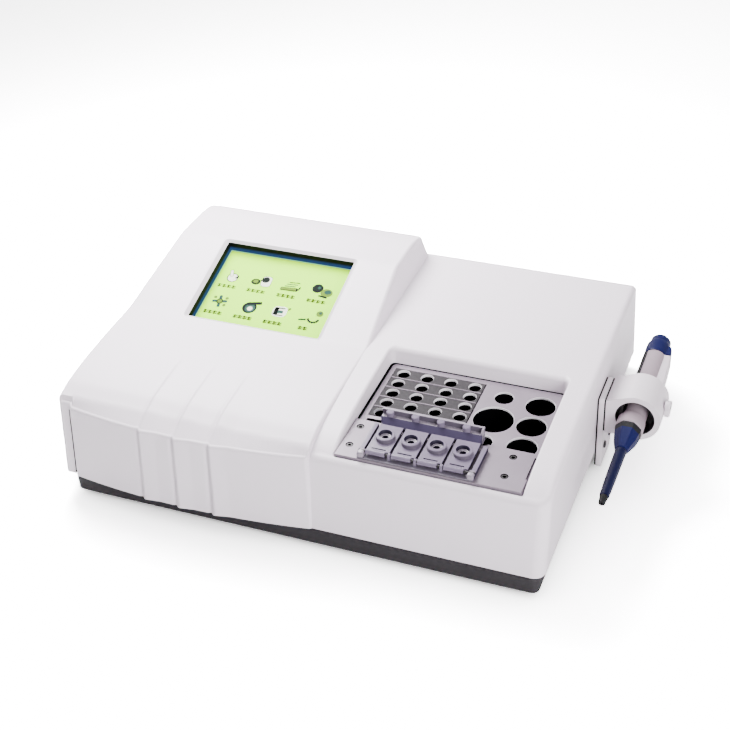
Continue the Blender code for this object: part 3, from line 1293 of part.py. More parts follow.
def power_switch(rear):
    """Rocker switch: a frame in the panel and the rocker on its pivot."""
    half_x, half_z = SWITCH_WIDTH / 2, SWITCH_HEIGHT / 2
    frame = box_object("switch_frame", (SWITCH_X - half_x, GAP, -half_z), (SWITCH_X + half_x, INLET_FLANGE,
                                                                           half_z),
                       fixture_black(), rear)
    mesh = new_mesh()
    inset = INLET_FLANGE / 2 + GAP
    fill_box(mesh, (SWITCH_X - half_x + inset, -SWITCH_DEPTH, -half_z + inset),
             (SWITCH_X + half_x - inset, 2 * GAP, half_z - inset))
    combine(frame, add_object("switch_body", mesh, None, rear), "UNION")
    mesh = new_mesh()
    well_x, well_z = ROCKER_WIDTH / 2 + GAP, ROCKER_HEIGHT / 2 + GAP
    fill_box(mesh, (SWITCH_X - well_x, -SWITCH_DEPTH + INLET_FLANGE, -well_z), (SWITCH_X + well_x, OVERRUN,
                                                                                well_z))
    combine(frame, add_object("switch_well", mesh, None, rear))
    pivot = (SWITCH_X, -SWITCH_DEPTH / 3, 0.0)
    reach = ROCKER_HEIGHT / 2 * 0.84
    depth = -pivot[1]
    outline = [(depth + INLET_FLANGE * 0.4, reach), (depth - GAP, 0.0), (depth + INLET_FLANGE * 1.3, -reach),
               (0.0, -reach), (-INLET_FLANGE * 1.5, 0.0), (0.0, reach)]
    mesh = new_mesh()
    fill_prism(mesh, [(pivot[1] + y, z) for y, z in outline], SWITCH_X - ROCKER_WIDTH / 2,
               SWITCH_X + ROCKER_WIDTH / 2,
               "X")
    add_object("power_rocker", mesh, fixture_black(), rear, pivot)


def data_ports(rear):
    """Two nine-way sockets behind the panel, their shells standing out through it."""
    for index in range(PORT_COUNT):
        x = PORT_FIRST_X + PORT_PITCH * index
        name = "data_port_%d" % (index + 1)
        front = -PANEL_PLATE - GAP
        port = box_object(name, (x - PORT_WIDTH / 2, front - PORT_DEPTH, -PORT_HEIGHT / 2),
                          (x + PORT_WIDTH / 2, front, PORT_HEIGHT / 2), sheet_steel(), rear)
        mesh = new_mesh()
        half_x, half_z = PORT_SHELL_WIDTH / 2, PORT_SHELL_HEIGHT / 2
        outline = ((x - half_x * 0.86, -half_z), (x + half_x * 0.86, -half_z), (x + half_x, half_z),
                   (x - half_x, half_z))
        fill_prism(mesh, outline, PORT_SHELL_REACH, front - GAP, "Y")
        combine(port, add_object(name + "_shell", mesh, None, rear), "UNION")


def pipette_holder(parent):
    """Plate on the right wall and the clamp ring that stands out from it."""
    left = COVER_RIGHT + GAP
    face = left + HOLDER_PLATE_THICKNESS
    mesh = new_mesh()
    fill_prism(mesh, round_rectangle(HOLDER_FRONT, 0.0, HOLDER_REAR, HOLDER_TOP, HOLDER_CORNER), left,
               face, "X")
    plate = add_object("holder_plate", mesh, holder_white(), parent)
    mesh = new_mesh()
    for y, z in holder_screw_places():
        fill_rod(mesh, SCREW_SHANK_RADIUS + GAP, (0.0, y, z), "X", left - OVERRUN / 2, face + OVERRUN,
                 SMALL_STEPS)
    combine(plate, add_object("holder_holes", mesh, None, parent))
    start = face + GAP
    mesh = new_mesh()
    outline = [(start, RING_NECK_LOW), (start, HOLDER_TOP)]
    first, last = radians(108.0), radians(-118.0)
    for step in range(FINE_STEPS + 1):
        angle = first + (last - first) * step / FINE_STEPS
        outline.append((RING_X + RING_RADIUS * cos(angle), RING_Z + RING_RADIUS * sin(angle)))
    fill_prism(mesh, outline, HOLDER_FRONT, HOLDER_REAR, "Y")
    ring = add_object("holder_ring", mesh, holder_white(), parent)
    mesh = new_mesh()
    fill_rod(mesh, RING_BORE, (RING_X, 0.0, RING_Z), "Y", HOLDER_FRONT - OVERRUN, HOLDER_REAR + OVERRUN,
             FINE_STEPS)
    middle = (HOLDER_FRONT + HOLDER_REAR) / 2
    combine(ring, add_object("ring_bore", mesh, None, parent))
    knob_height = RING_Z + KNOB_RISE
    mesh = new_mesh()
    fill_rod(mesh, KNOB_STEM_RADIUS + GAP, (0.0, middle, knob_height), "X", RING_X,
             RING_X + RING_RADIUS + OVERRUN,
             SMALL_STEPS)
    combine(ring, add_object("stem_bore", mesh, None, parent))
    smooth_round(ring)
    knob_start = RING_X + RING_RADIUS + GAP
    mesh = new_mesh()
    stem_start = RING_X + COLLAR_RADIUS
    fill_rod(mesh, KNOB_STEM_RADIUS, (0.0, middle, knob_height), "X", stem_start,
             knob_start + KNOB_THICKNESS / 2,
             SMALL_STEPS)
    knob = add_object("clamp_knob", mesh, holder_white(), parent, (knob_start, middle, knob_height))
    mesh = new_mesh()
    count = FINE_STEPS * 2
    lobes = []
    for step in range(count):
        angle = 2 * pi * step / count
        radius = KNOB_RADIUS * (0.87 + 0.13 * cos(3 * angle))
        lobes.append((middle + radius * cos(angle), knob_height + radius * sin(angle)))
    fill_prism(mesh, lobes, knob_start, knob_start + KNOB_THICKNESS, "X")
    combine(knob, add_object("knob_head", mesh, None, parent), "UNION")


def holder_screw_places():
    middle = (HOLDER_FRONT + HOLDER_REAR) / 2
    offset = (HOLDER_REAR - HOLDER_FRONT) / 4
    return [(middle - offset, RING_NECK_LOW / 2), (middle + offset, RING_NECK_LOW / 2)]


def holder_screws(parent):
    """Screws that hold the plate to the case, below the ring."""
    face = COVER_RIGHT + GAP + HOLDER_PLATE_THICKNESS
    for index, (y, z) in enumerate(holder_screw_places()):
        mesh = new_mesh()
        profile = ((SCREW_SHANK_RADIUS, -HOLDER_PLATE_THICKNESS), (SCREW_SHANK_RADIUS, GAP),
                   (HOLDER_SCREW_RADIUS, GAP), (HOLDER_SCREW_RADIUS, HOLDER_SCREW_HEAD),
                   (HOLDER_SCREW_RADIUS / 2, HOLDER_SCREW_HEAD + GAP))
        fill_turned(mesh, profile, (face, y, z), "X", SMALL_STEPS)
        smooth_round(add_object("holder_screw_%d" % (index + 1), mesh, screw_steel(), parent, (face, y, z)))


def pipette_frame(parent):
    """Empty on the pipette's axis at the front of the ring, with its own Y back along the pipette."""
    place = (RING_X + PIPETTE_SLIP_X, HOLDER_FRONT, RING_Z + PIPETTE_SLIP_Z)
    return add_empty("pipette_frame", parent, place, (PIPETTE_TILT, 0.0, PIPETTE_YAW))


def pipette(axis):
    """Pipette below its head, built along its own Y: handle, collar, nose, shaft and tip."""
    centre = (0.0, 0.0, 0.0)
    mesh = new_mesh()
    profile = ((COLLAR_RADIUS, COLLAR_FRONT), (COLLAR_RADIUS, 0.0), (BODY_RADIUS, OVERRUN),
               (BODY_RADIUS, BODY_LENGTH - OVERRUN), (BODY_RADIUS * 0.9, BODY_LENGTH))
    fill_turned(mesh, profile, centre, "Y", FINE_STEPS)
    body = smooth_round(add_object("pipette_body", mesh, handle_grey(), axis))
    mesh = new_mesh()
    side = BODY_RADIUS * 0.6
    outline = ((side, STRIP_FRONT), (BODY_RADIUS + STRIP_REACH, STRIP_FRONT),
               (BODY_RADIUS + STRIP_REACH * 0.6, BODY_LENGTH - GAP), (side, BODY_LENGTH - GAP))
    fill_prism(mesh, outline, -HOOK_WIDTH / 2, HOOK_WIDTH / 2, "Z")
    combine(body, add_object("side_strip", mesh, None, axis), "UNION")
    mesh = new_mesh()
    fill_turned(mesh, ((BODY_RADIUS * 0.8, BODY_LENGTH - OVERRUN), (BODY_RADIUS * 0.8,
                                                                    BODY_LENGTH + HEAD_OVERLAP)),
                centre, "Y", FINE_STEPS)
    combine(body, add_object("body_spigot", mesh, None, axis), "UNION")
    mesh = new_mesh()
    nose_back = COLLAR_FRONT + NOSE_STRAIGHT
    fill_rod(mesh, COLLAR_BORE + GAP, centre, "Y", COLLAR_FRONT - OVERRUN, nose_back + GAP, FINE_STEPS)
    fill_rod(mesh, STEM_RADIUS + GAP, centre, "Y", BODY_LENGTH - PLUNGER_TRAVEL * 1.5,
             BODY_LENGTH + HEAD_OVERLAP + OVERRUN, ROUND_STEPS)
    combine(body, add_object("body_bores", mesh, None, axis))
    nose_front = COLLAR_FRONT - NOSE_LENGTH + NOSE_STRAIGHT
    mesh = new_mesh()
    profile = ((NOSE_END_RADIUS, nose_front), (NOSE_RADIUS * 0.92, COLLAR_FRONT - NOSE_STRAIGHT),
               (NOSE_RADIUS, COLLAR_FRONT - NOSE_STRAIGHT / 2), (NOSE_RADIUS, COLLAR_FRONT - GAP),
               (COLLAR_BORE, COLLAR_FRONT - GAP), (COLLAR_BORE, nose_back))
    fill_turned(mesh, profile, centre, "Y", SMALL_STEPS)
    nose = add_object("pipette_nose", mesh, pipette_blue(), axis)
    shaft_front = nose_front - SHAFT_LENGTH
    mesh = new_mesh()
    fill_rod(mesh, SHAFT_RADIUS * 0.7 + GAP, centre, "Y", nose_front - OVERRUN, nose_front + OVERRUN * 2,
             ROUND_STEPS)
    combine(nose, add_object("nose_bore", mesh, None, axis))
    mesh = new_mesh()
    profile = ((SHAFT_END_RADIUS * 0.55, shaft_front - TIP_LENGTH / 2), (SHAFT_END_RADIUS * 0.6, shaft_front),
               (SHAFT_END_RADIUS, shaft_front), (SHAFT_RADIUS, nose_front - GAP), (SHAFT_RADIUS * 0.7,
                                                                                   nose_front - GAP),
               (SHAFT_RADIUS * 0.7, nose_front + OVERRUN))
    fill_turned(mesh, profile, centre, "Y", ROUND_STEPS)
    smooth_round(add_object("pipette_shaft", mesh, shaft_navy(), axis))
    tip_front = shaft_front - TIP_LENGTH
    mesh = new_mesh()
    profile = ((TIP_RADIUS * 0.85, tip_front), (TIP_RADIUS, tip_front + GAP), (TIP_RADIUS * 1.1,
                                                                               shaft_front - GAP))
    fill_turned(mesh, profile, centre, "Y", ROUND_STEPS)
    tip = smooth_round(add_object("pipette_tip", mesh, fixture_black(), axis))
    mesh = new_mesh()
    bore = ((TIP_BORE, tip_front - OVERRUN), (TIP_BORE, shaft_front - TIP_LENGTH / 2 - GAP),
            (SHAFT_END_RADIUS * 0.6 + GAP, shaft_front - TIP_LENGTH / 2 - GAP),
            (SHAFT_END_RADIUS * 0.6 + GAP, shaft_front + OVERRUN))
    fill_turned(mesh, bore, centre, "Y", SMALL_STEPS)
    combine(tip, add_object("tip_bore", mesh, None, axis))
    return body


def pipette_head(axis):
    """Blue head over the end of the handle, with the hook that hangs over the finger."""
    centre = (0.0, 0.0, 0.0)
    start, finish = BODY_LENGTH + GAP, BODY_LENGTH + HEAD_LENGTH
    mesh = new_mesh()
    profile = ((HEAD_RADIUS * 0.97, start), (HEAD_RADIUS, start + HEAD_LENGTH * 0.15),
               (HEAD_RADIUS * 0.97, start + HEAD_LENGTH * 0.75), (HEAD_RADIUS * 0.88, finish))
    fill_turned(mesh, profile, centre, "Y", FINE_STEPS)
    head = smooth_round(add_object("pipette_head", mesh, pipette_blue(), axis))
    mesh = new_mesh()
    outer = HEAD_RADIUS + HOOK_REACH
    outline = ((HEAD_RADIUS * 0.5, start), (outer, start), (outer, start + HEAD_LENGTH * 0.35),
               (HEAD_RADIUS + HOOK_REACH * 0.3, start + HEAD_LENGTH * 0.7),
               (HEAD_RADIUS * 0.5, start + HEAD_LENGTH * 0.75))
    fill_prism(mesh, outline, -HOOK_WIDTH / 2, HOOK_WIDTH / 2, "Z")
    combine(head, add_object("finger_hook", mesh, None, axis), "UNION")
    mesh = new_mesh()
    bore = ((BODY_RADIUS * 0.8 + GAP, start - OVERRUN), (BODY_RADIUS * 0.8 + GAP,
                                                         BODY_LENGTH + HEAD_OVERLAP + GAP),
            (STEM_RADIUS + GAP, BODY_LENGTH + HEAD_OVERLAP + GAP), (STEM_RADIUS + GAP, finish + OVERRUN))
    fill_turned(mesh, bore, centre, "Y", ROUND_STEPS)
    combine(head, add_object("head_bore", mesh, None, axis))
    mesh = new_mesh()
    cup = finish - PLUNGER_TRAVEL * 0.3
    fill_rod(mesh, BUTTON_RADIUS + GAP, centre, "Y", cup, finish + OVERRUN, FINE_STEPS)
    combine(head, add_object("head_cup", mesh, None, axis))
    rest = cup + PLUNGER_TRAVEL + GAP
    mesh = new_mesh()
    profile = ((STEM_RADIUS, BODY_LENGTH - PLUNGER_TRAVEL * 0.4), (STEM_RADIUS, rest), (BUTTON_RADIUS, rest),
               (BUTTON_RADIUS, rest + BUTTON_HEAD * 0.7), (BUTTON_RADIUS * 0.85, rest + BUTTON_HEAD))
    fill_turned(mesh, profile, centre, "Y", FINE_STEPS)
    smooth_round(add_object("plunger_button", mesh, pipette_blue(), axis, (0.0, rest, 0.0)))
    return head


def whole_box(root):
    """Lowest and highest corners of every model object, in the root's own frame."""
    bpy.context.view_layer.update()
    graph = bpy.context.evaluated_depsgraph_get()
    low = Vector((float("inf"),) * 3)
    high = -low
    inverse = root.matrix_world.inverted()
    for item in bpy.data.objects:
        if item.type != "MESH" or item.hide_render:
            continue
        shape = item.evaluated_get(graph)
        for vertex in shape.data.vertices:
            point = inverse @ item.matrix_world @ vertex.co
            for index in range(3):
                low[index] = min(low[index], point[index])
                high[index] = max(high[index], point[index])
    return low, high


def build():
    clear_scene()
    root = add_empty("analyzer", None)
    screen = screen_frame(root)
    rear = rear_frame(root)
    base_tray(root)
    feet(root)
    top_cover(root, screen, rear)
    display(screen)
    incubation_block(root)
    cuvette_insert(root)
    heater_plate(root)
    stirrer(root)
    optics(root)
    channel_plate(root)
    plate_screws(root)
    lid_frame(root)
    lid_pin(root)
    for index in range(CHANNEL_COUNT):
        channel_lid(index, root)
    tip_guide(root)
    electronics(root)
    rear_panel(rear)
    panel_screws(rear)
    cooling_fan(rear)
    mains_inlet(rear)
    power_switch(rear)
    data_ports(rear)
    pipette_holder(root)
    holder_screws(root)
    axis = pipette_frame(root)
    pipette(axis)
    pipette_head(axis)
    low, high = whole_box(root)
    root.location = (-(low.x + high.x) / 2, -(low.y + high.y) / 2, -low.z)


build()
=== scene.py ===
from math import atan, cos, pi, radians, sin, tan

import bmesh
import bpy
from mathutils import Matrix, Vector


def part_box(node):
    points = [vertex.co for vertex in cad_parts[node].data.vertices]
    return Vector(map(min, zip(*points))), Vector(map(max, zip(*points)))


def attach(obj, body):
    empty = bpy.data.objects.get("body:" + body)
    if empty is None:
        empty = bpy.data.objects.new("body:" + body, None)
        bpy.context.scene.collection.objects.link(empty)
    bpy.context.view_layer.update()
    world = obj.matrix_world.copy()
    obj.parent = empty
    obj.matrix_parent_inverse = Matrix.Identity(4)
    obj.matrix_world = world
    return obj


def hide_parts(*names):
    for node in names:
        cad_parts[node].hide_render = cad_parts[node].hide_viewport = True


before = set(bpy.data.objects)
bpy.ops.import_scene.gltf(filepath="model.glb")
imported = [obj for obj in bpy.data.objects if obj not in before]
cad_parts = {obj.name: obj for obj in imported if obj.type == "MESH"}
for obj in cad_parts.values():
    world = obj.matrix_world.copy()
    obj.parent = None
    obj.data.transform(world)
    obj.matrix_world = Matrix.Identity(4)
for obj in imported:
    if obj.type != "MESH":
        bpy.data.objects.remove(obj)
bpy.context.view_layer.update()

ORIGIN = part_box("base_tray")[0]
CORNER = Matrix.Translation(ORIGIN)
ARC = 6


def span(node):
    """Low and high corner of a CAD node, from the front left corner of the tray."""
    low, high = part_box(node)
    return low - ORIGIN, high - ORIGIN


def middle(node):
    low, high = span(node)
    return (low + high) / 2


# Sizes of the CAD model, from the front left corner of the tray
GAP = 0.0003
OVERRUN = 0.004
TRAY_WIDTH, TRAY_DEPTH = (round(place, 5) for place in span("base_tray")[1].xy)
TRAY_HEIGHT = 0.0142
COVER_BOTTOM, COVER_WALL = 0.0145, 0.0026
COVER_LEFT, COVER_RIGHT, COVER_BOW = -0.009, 0.4035, 0.00297
MODULE_RIGHT, MODULE_OVERLAP = 0.2130, 0.012
TIGHT, SOFT, REAR = 0.003, 0.010, 0.005
MODULE_RIM, DECK_RIM = 0.0022, 0.0050
SHOULDER, PILLAR, PILLAR_FRONT, DECK_FRONT = 0.093, 0.012, 0.0022, 0.0010
FRONT_BOW, BOW_MIDDLE = 0.0085, 0.108
FRONT_LEAN, DECK_LEAN, REAR_LEAN, SHOULDER_LEAN, STEP_LEAN = 0.135, 0.165, 0.170, 0.26, 0.045
FACE_TOP, BROW_DEPTH, BROW_HEIGHT = 0.078, 0.016, 0.0857
MODULE_HEIGHT, DECK_HEIGHT = 0.1185, 0.0936
RIB_FIRST, RIB_PITCH, RIB_HEIGHT, RIB_REACH = 0.069, 0.0313, 0.0020, 0.086
RIB_RISE, RIB_FALL, RIB_DIP = 0.0024, 0.0140, 0.60
SCREEN_WIDTH, SCREEN_LENGTH, SCREEN_LEFT, SCREEN_FRONT = 0.1227, 0.0911, 0.0440, 0.1430
SCREEN_HEIGHT, SLOPE, SCREEN_DEPTH, MARGIN = 0.0944, radians(15.0), 0.0110, 0.0022
BLOCK_LOW, BLOCK_HIGH = span("incubation_block")
BLOCK_TOP, BLOCK_BOTTOM, BLOCK_LEFT_GAP = round(BLOCK_HIGH.z, 5), round(BLOCK_LOW.z, 5), 0.0021
POCKET = [round(place, 5) for place in (BLOCK_LOW.x - BLOCK_LEFT_GAP, BLOCK_LOW.y - GAP, BLOCK_HIGH.x + GAP,
                                        BLOCK_HIGH.y + GAP)]
POCKET_WALL, SURROUND, REAR_CORNER, FRONT_CORNER = 0.0026, 0.0035, 0.0040, 0.0010
LEFT_RIM, RIGHT_RIM, FRONT_RIM, REAR_RIM = 0.0020, 0.0016, 0.0012, 0.0042
LEFT_SPLAY, RIGHT_SPLAY, FRONT_SPLAY, REAR_SPLAY = 0.0012, 0.0012, 0.0010, 0.0034
OPENING_HEIGHT = 0.0495
WELL_COLUMN, CUP_COLUMN = 0.3350, 0.3658
SMALL_WELL, LARGE_WELL, CUP = 0.0078, 0.0163, 0.0121
WELLS = [(WELL_COLUMN, y, radius) for y, radius in ((0.1270, SMALL_WELL), (0.0976, LARGE_WELL),
                                                    (0.0690, SMALL_WELL))]
WELLS += [(CUP_COLUMN, y, CUP) for y in (0.1246, 0.0978, 0.0710)]
WELL_DEPTH, CHANNEL_DEPTH, RACK_DEPTH = 0.0360, 0.0280, 0.0300
CHANNEL_BORE, RACK_BORE = 0.0046, 0.0052
WELL_EDGE, CHANNEL_EDGE, RACK_EDGE, PLATE_EDGE = 0.0017, 0.0012, 0.0022, 0.0010
RACK_LOW, RACK_HIGH = span("cuvette_insert")
RACK_X, RACK_Y, RACK_PITCH, RACK_ROW, RACK_SIDE_GAP = 0.2473, 0.1332, 0.02045, 0.0135, 0.0007
PLATE_LOW, PLATE_HIGH = span("channel_plate")
SCREWS = [middle("plate_screw_%d" % number) for number in range(1, 5)]
FRAME_LOW, FRAME_HIGH = span("lid_frame")
GUIDE_LOW, GUIDE_HIGH = span("tip_guide")
GUIDE_FRONT = GUIDE_LOW.y + 0.0024
PIN_LOW, PIN_HIGH = span("lid_pin")
PIN_Y, PIN_Z = middle("lid_pin").yz
PIN = (0.0, PIN_Y, PIN_Z)
PIN_RADIUS, PIN_BORE, KNUCKLE = 0.0010, 0.0011, 0.0021
LIDS = [span("channel_lid_%d" % number) for number in range(1, 5)]
CHANNELS = [(low.x + high.x) / 2 for low, high in LIDS]
CHANNEL_Y = 0.0418
SMALL_ROUND = 0.0004
RING_RADIUS, RING_BORE = 0.0208, 0.0160
RING_LOW, RING_HIGH = span("holder_ring")
RING_X, RING_Z = RING_HIGH.x - RING_RADIUS, RING_HIGH.z - RING_RADIUS
HOLDER_FRONT, HOLDER_REAR = RING_LOW.y, RING_HIGH.y
HOLDER_TOP = span("holder_plate")[1].z
STEP = 0.0005


# Materials
def join(made, socket, value):
    """Give a shader socket a value or another node's output."""
    if isinstance(value, bpy.types.NodeSocket):
        made.node_tree.links.new(value, socket)
    else:
        socket.default_value = value


def node(made, kind, outlet, inputs=(), **settings):
    """New shader node with its settings and inputs; gives one of its outputs."""
    new = made.node_tree.nodes.new("ShaderNode" + kind)
    for setting, value in settings.items():
        setattr(new, setting, value)
    for socket, value in dict(inputs).items():
        join(made, new.inputs[socket], value)
    return new.outputs[outlet]


def mixed(made, share, first, second, **settings):
    """Two colours mixed; a colour mix has its factor at input 0 and its colours at inputs 6 and 7."""
    return node(made, "Mix", 2, {0: share, 6: first, 7: second}, data_type="RGBA", **settings)


def base_color(made):
    return made.node_tree.nodes["Principled BSDF"].inputs["Base Color"].links[0].from_socket


def set_shader(made, **sockets):
    """Set or join inputs of a material's shader."""
    for socket, value in sockets.items():
        join(made, made.node_tree.nodes["Principled BSDF"].inputs[socket.replace("_", " ")], value)
    return made


def surface(name, dark, light, rough, scale=30.0, bump=0.06, grain=1400.0, specular=0.5, **sockets):
    """Principled material whose colour, roughness and relief all come from noise in object space."""
    made = bpy.data.materials.new(name)
    made.use_nodes = True
    place = node(made, "TexCoord", "Object")
    broad = node(made, "TexNoise", "Fac", {"Vector": place, "Scale": scale, "Detail": 4.0})
    fine = node(made, "TexNoise", "Fac", {"Vector": place, "Scale": grain, "Detail": 2.0})
    gloss = node(made, "MapRange", "Result", {"Value": fine, "From Min": 0.3, "From Max": 0.7,
                                              "To Min": rough[0], "To Max": rough[1]})
    relief = node(made, "Bump", "Normal", {"Height": fine, "Strength": bump, "Distance": 0.0002})
    tint = mixed(made, broad, (*dark, 1.0), (*light, 1.0))
    return set_shader(made, Base_Color=tint, Roughness=gloss, Normal=relief, Specular_IOR_Level=specular,
                      **sockets)


def share_along(made, axis, start, end):
    """Share of the way from start to end along an axis of object space, in a material."""
    place = node(made, "SeparateXYZ", axis, {"Vector": node(made, "TexCoord", "Object")})
    return node(made, "MapRange", "Result", {"Value": place, "From Min": start, "From Max": end})


def lit_screen():
    """Lit screen: black, navy and light blue along its left and rear edges, then yellow green."""
    made = surface("screen_glass", (0.50, 0.62, 0.004), (0.54, 0.66, 0.006), (0.30, 0.40), 20.0, 0.01,
                   specular=0.04)
    half_x, half_y = SCREEN_WIDTH / 2, SCREEN_LENGTH / 2
    from_left = share_along(made, "X", -half_x, MARGIN - half_x)
    from_rear = share_along(made, "Y", half_y, half_y - MARGIN)
    least = node(made, "Math", "Value", {0: from_left, 1: from_rear}, operation="MINIMUM")
    glow = node(made, "ValToRGB", "Color", {"Fac": least})
    band = glow.node.color_ramp
    band.elements[0].color = (0.010, 0.035, 0.120, 1.0)
    band.elements[1].color = (0.52, 1.0, 0.0, 1.0)
    for place, color in ((0.20, (0.015, 0.060, 0.180, 1.0)), (0.55, (0.20, 0.45, 0.60, 1.0)),
                         (0.85, (0.46, 0.95, 0.10, 1.0))):
        band.elements.new(place).color = color
    tint = mixed(made, 1.0, base_color(made), glow, blend_type="MULTIPLY")
    return set_shader(made, Base_Color=tint, Emission_Color=glow, Emission_Strength=1.0)


def lit_wall():
    """Black wall round the screen, blue at its foot where the screen's light falls on it."""
    made = surface("screen_wall", (0.002, 0.002, 0.0026), (0.0045, 0.0045, 0.0055), (0.55, 0.70), 60.0, 0.05,
                   specular=0.05)
    foot = share_along(made, "Z", -SCREEN_DEPTH * 0.62, -SCREEN_DEPTH)
    glow = mixed(made, foot, (0.0, 0.0, 0.0, 1.0), (0.030, 0.090, 0.260, 1.0))
    return set_shader(made, Emission_Color=glow, Emission_Strength=1.0)


WHITE = surface("case_white", (0.690, 0.620, 0.690), (0.725, 0.655, 0.722), (0.42, 0.52), 14.0, 0.05)
TRAY = surface("tray_grey", (0.016, 0.014, 0.017), (0.024, 0.021, 0.025), (0.55, 0.68), 40.0, 0.15,
               specular=0.25)
RUBBER = surface("rubber_black", (0.012, 0.012, 0.013), (0.022, 0.022, 0.024), (0.70, 0.85), 60.0, 0.25)
# Black of the real black parts; also painted shade in the cover's seam, beside the holder plate, inside the
# clamp ring's bores and the knob's recess, on the handle's left side and on the nose under the collar
BLACK_AND_SHADE = surface("fixture_black", (0.0045, 0.0045, 0.0055), (0.0080, 0.0080, 0.0095), (0.48, 0.60), 60.0, 0.12,
                specular=0.2)
# Painted shade: black inside the holes, bores and slots, on the block's sides and in the gap round the block
# and the rack
PIT = surface("black_painted_shade", (0.0008, 0.0008, 0.0010), (0.0015, 0.0015, 0.0018), (0.85, 0.95), 60.0, 0.05,
              specular=0.0)
BEZEL = surface("bezel_black", (0.0020, 0.0020, 0.0026), (0.0045, 0.0045, 0.0055), (0.55, 0.70), 60.0, 0.05,
                specular=0.1)
LCD, WALL = lit_screen(), lit_wall()
# Painted shade: a darker copy of the case's white for the chamfer round the screen's window
EDGE = surface("window_chamfer_painted_shade", (0.50, 0.45, 0.50), (0.55, 0.50, 0.55), (0.42, 0.52), 14.0, 0.05)
INK = surface("icon_dark", (0.003, 0.006, 0.005), (0.006, 0.010, 0.008), (0.50, 0.60), 300.0, 0.02,
              specular=0.02)
PAPER = surface("icon_light", (0.32, 0.37, 0.22), (0.38, 0.43, 0.26), (0.25, 0.35), 300.0, 0.02)
TEAL = surface("icon_teal", (0.012, 0.046, 0.034), (0.022, 0.062, 0.046), (0.50, 0.60), 300.0, 0.02,
               specular=0.02)
OLIVE = surface("icon_olive", (0.090, 0.170, 0.012), (0.120, 0.210, 0.020), (0.50, 0.60), 300.0, 0.02,
                specular=0.02)
STEEL = surface("sheet_steel", (0.42, 0.43, 0.45), (0.52, 0.53, 0.55), (0.32, 0.45), 50.0, 0.10, Metallic=1.0)
ALLOY = surface("block_aluminium", (0.150, 0.120, 0.153), (0.200, 0.164, 0.204), (0.40, 0.52), 35.0, 0.12,
                2200.0, Metallic=0.25)
# Painted highlight: near white on the upper walls of the holes, where light falls into them
BRIGHT = surface("hole_wall_painted_highlight", (0.66, 0.63, 0.67), (0.74, 0.71, 0.75), (0.30, 0.40), 80.0, 0.05)
INSERT = surface("insert_grey", (0.016, 0.014, 0.016), (0.040, 0.035, 0.040), (0.52, 0.66), 420.0, 0.30,
                 1800.0, specular=0.12)
LILAC = surface("clear_lilac", (0.150, 0.122, 0.180), (0.180, 0.148, 0.215), (0.16, 0.26), 60.0, 0.04,
                Transmission_Weight=0.15, IOR=1.46, specular=0.3)
PURPLE = surface("ledge_purple", (0.030, 0.023, 0.050), (0.040, 0.031, 0.064), (0.30, 0.42), 60.0, 0.04,
                 specular=0.2)
# Painted shade: dark lilac on the sides of the lids and rails and in the funnels, bores and grooves
SHADE = surface("lid_edge", (0.012, 0.009, 0.020), (0.020, 0.016, 0.032), (0.40, 0.50), 60.0, 0.04,
                specular=0.1)
# Pale lilac of the frame's corner blocks and the guide's end plate; also a painted highlight on the guide's
# top and on the lids' funnel seats
PALE = surface("pale_lilac", (0.19, 0.162, 0.205), (0.24, 0.205, 0.255), (0.24, 0.34), 60.0, 0.04)
# The tip guide's own grey; it is also painted shade on the walls of the lids' rings and on the frame's floor
GUIDE = surface("guide_grey", (0.070, 0.058, 0.082), (0.092, 0.077, 0.106), (0.34, 0.46), 70.0, 0.08)
SCREW = surface("screw_steel", (0.020, 0.018, 0.020), (0.044, 0.040, 0.044), (0.30, 0.42), 400.0, 0.10,
                Metallic=0.5)
HOLDER = surface("holder_white", (0.60, 0.54, 0.59), (0.64, 0.58, 0.63), (0.40, 0.50), 40.0, 0.05)
PANEL = surface("panel_white", (0.56, 0.53, 0.56), (0.61, 0.58, 0.61), (0.42, 0.55), 40.0, 0.20, 2600.0)
HANDLE = surface("handle_grey", (0.255, 0.200, 0.235), (0.295, 0.235, 0.275), (0.36, 0.46), 60.0, 0.06)
STRIP = surface("strip_white", (0.50, 0.44, 0.49), (0.56, 0.50, 0.55), (0.36, 0.44), 60.0, 0.06)
BLUE = surface("pipette_blue", (0.0036, 0.0048, 0.042), (0.0052, 0.0068, 0.052), (0.34, 0.46), 80.0, 0.08,
               specular=0.15)
NAVY = surface("shaft_navy", (0.0026, 0.0030, 0.022), (0.0037, 0.0043, 0.029), (0.34, 0.46), 80.0, 0.06,
               specular=0.15)
BOARD = surface("board_green", (0.012, 0.11, 0.04), (0.02, 0.16, 0.06), (0.40, 0.55), 200.0, 0.15)


# Shapes: points, and faces as corner numbers with a finish index
AXES = {"Z": lambda a, b, c: (a, b, c), "Y": lambda a, b, c: (a, c, b), "X": lambda a, b, c: (c, a, b)}


def ringed(rings, indices=None):
    """Closed shape through rings of points; indices give each band's finish."""
    indices = indices or [0] * (len(rings) - 1)
    count, last = len(rings[0]), len(rings[0]) * (len(rings) - 1)
    faces = [(range(count - 1, -1, -1), indices[0]), (range(last, last + count), indices[-1])]
    for band, index in enumerate(indices):
        for corner in range(count):
            here, after = band * count + corner, band * count + (corner + 1) % count
            faces.append(((here, after, after + count, here + count), index))
    return [point for ring in rings for point in ring], faces


def prism(outline, start, end, axis="Z", index=0):
    return ringed([[AXES[axis](a, b, c) for a, b in outline] for c in (start, end)], [index])


def box(low, high, index=0):
    points = [(x, y, z) for z in (low[2], high[2]) for y in (low[1], high[1]) for x in (low[0], high[0])]
    faces = (0, 2, 3, 1), (4, 5, 7, 6), (0, 1, 5, 4), (2, 6, 7, 3), (0, 4, 6, 2), (1, 3, 7, 5)
    return points, [(face, index) for face in faces]


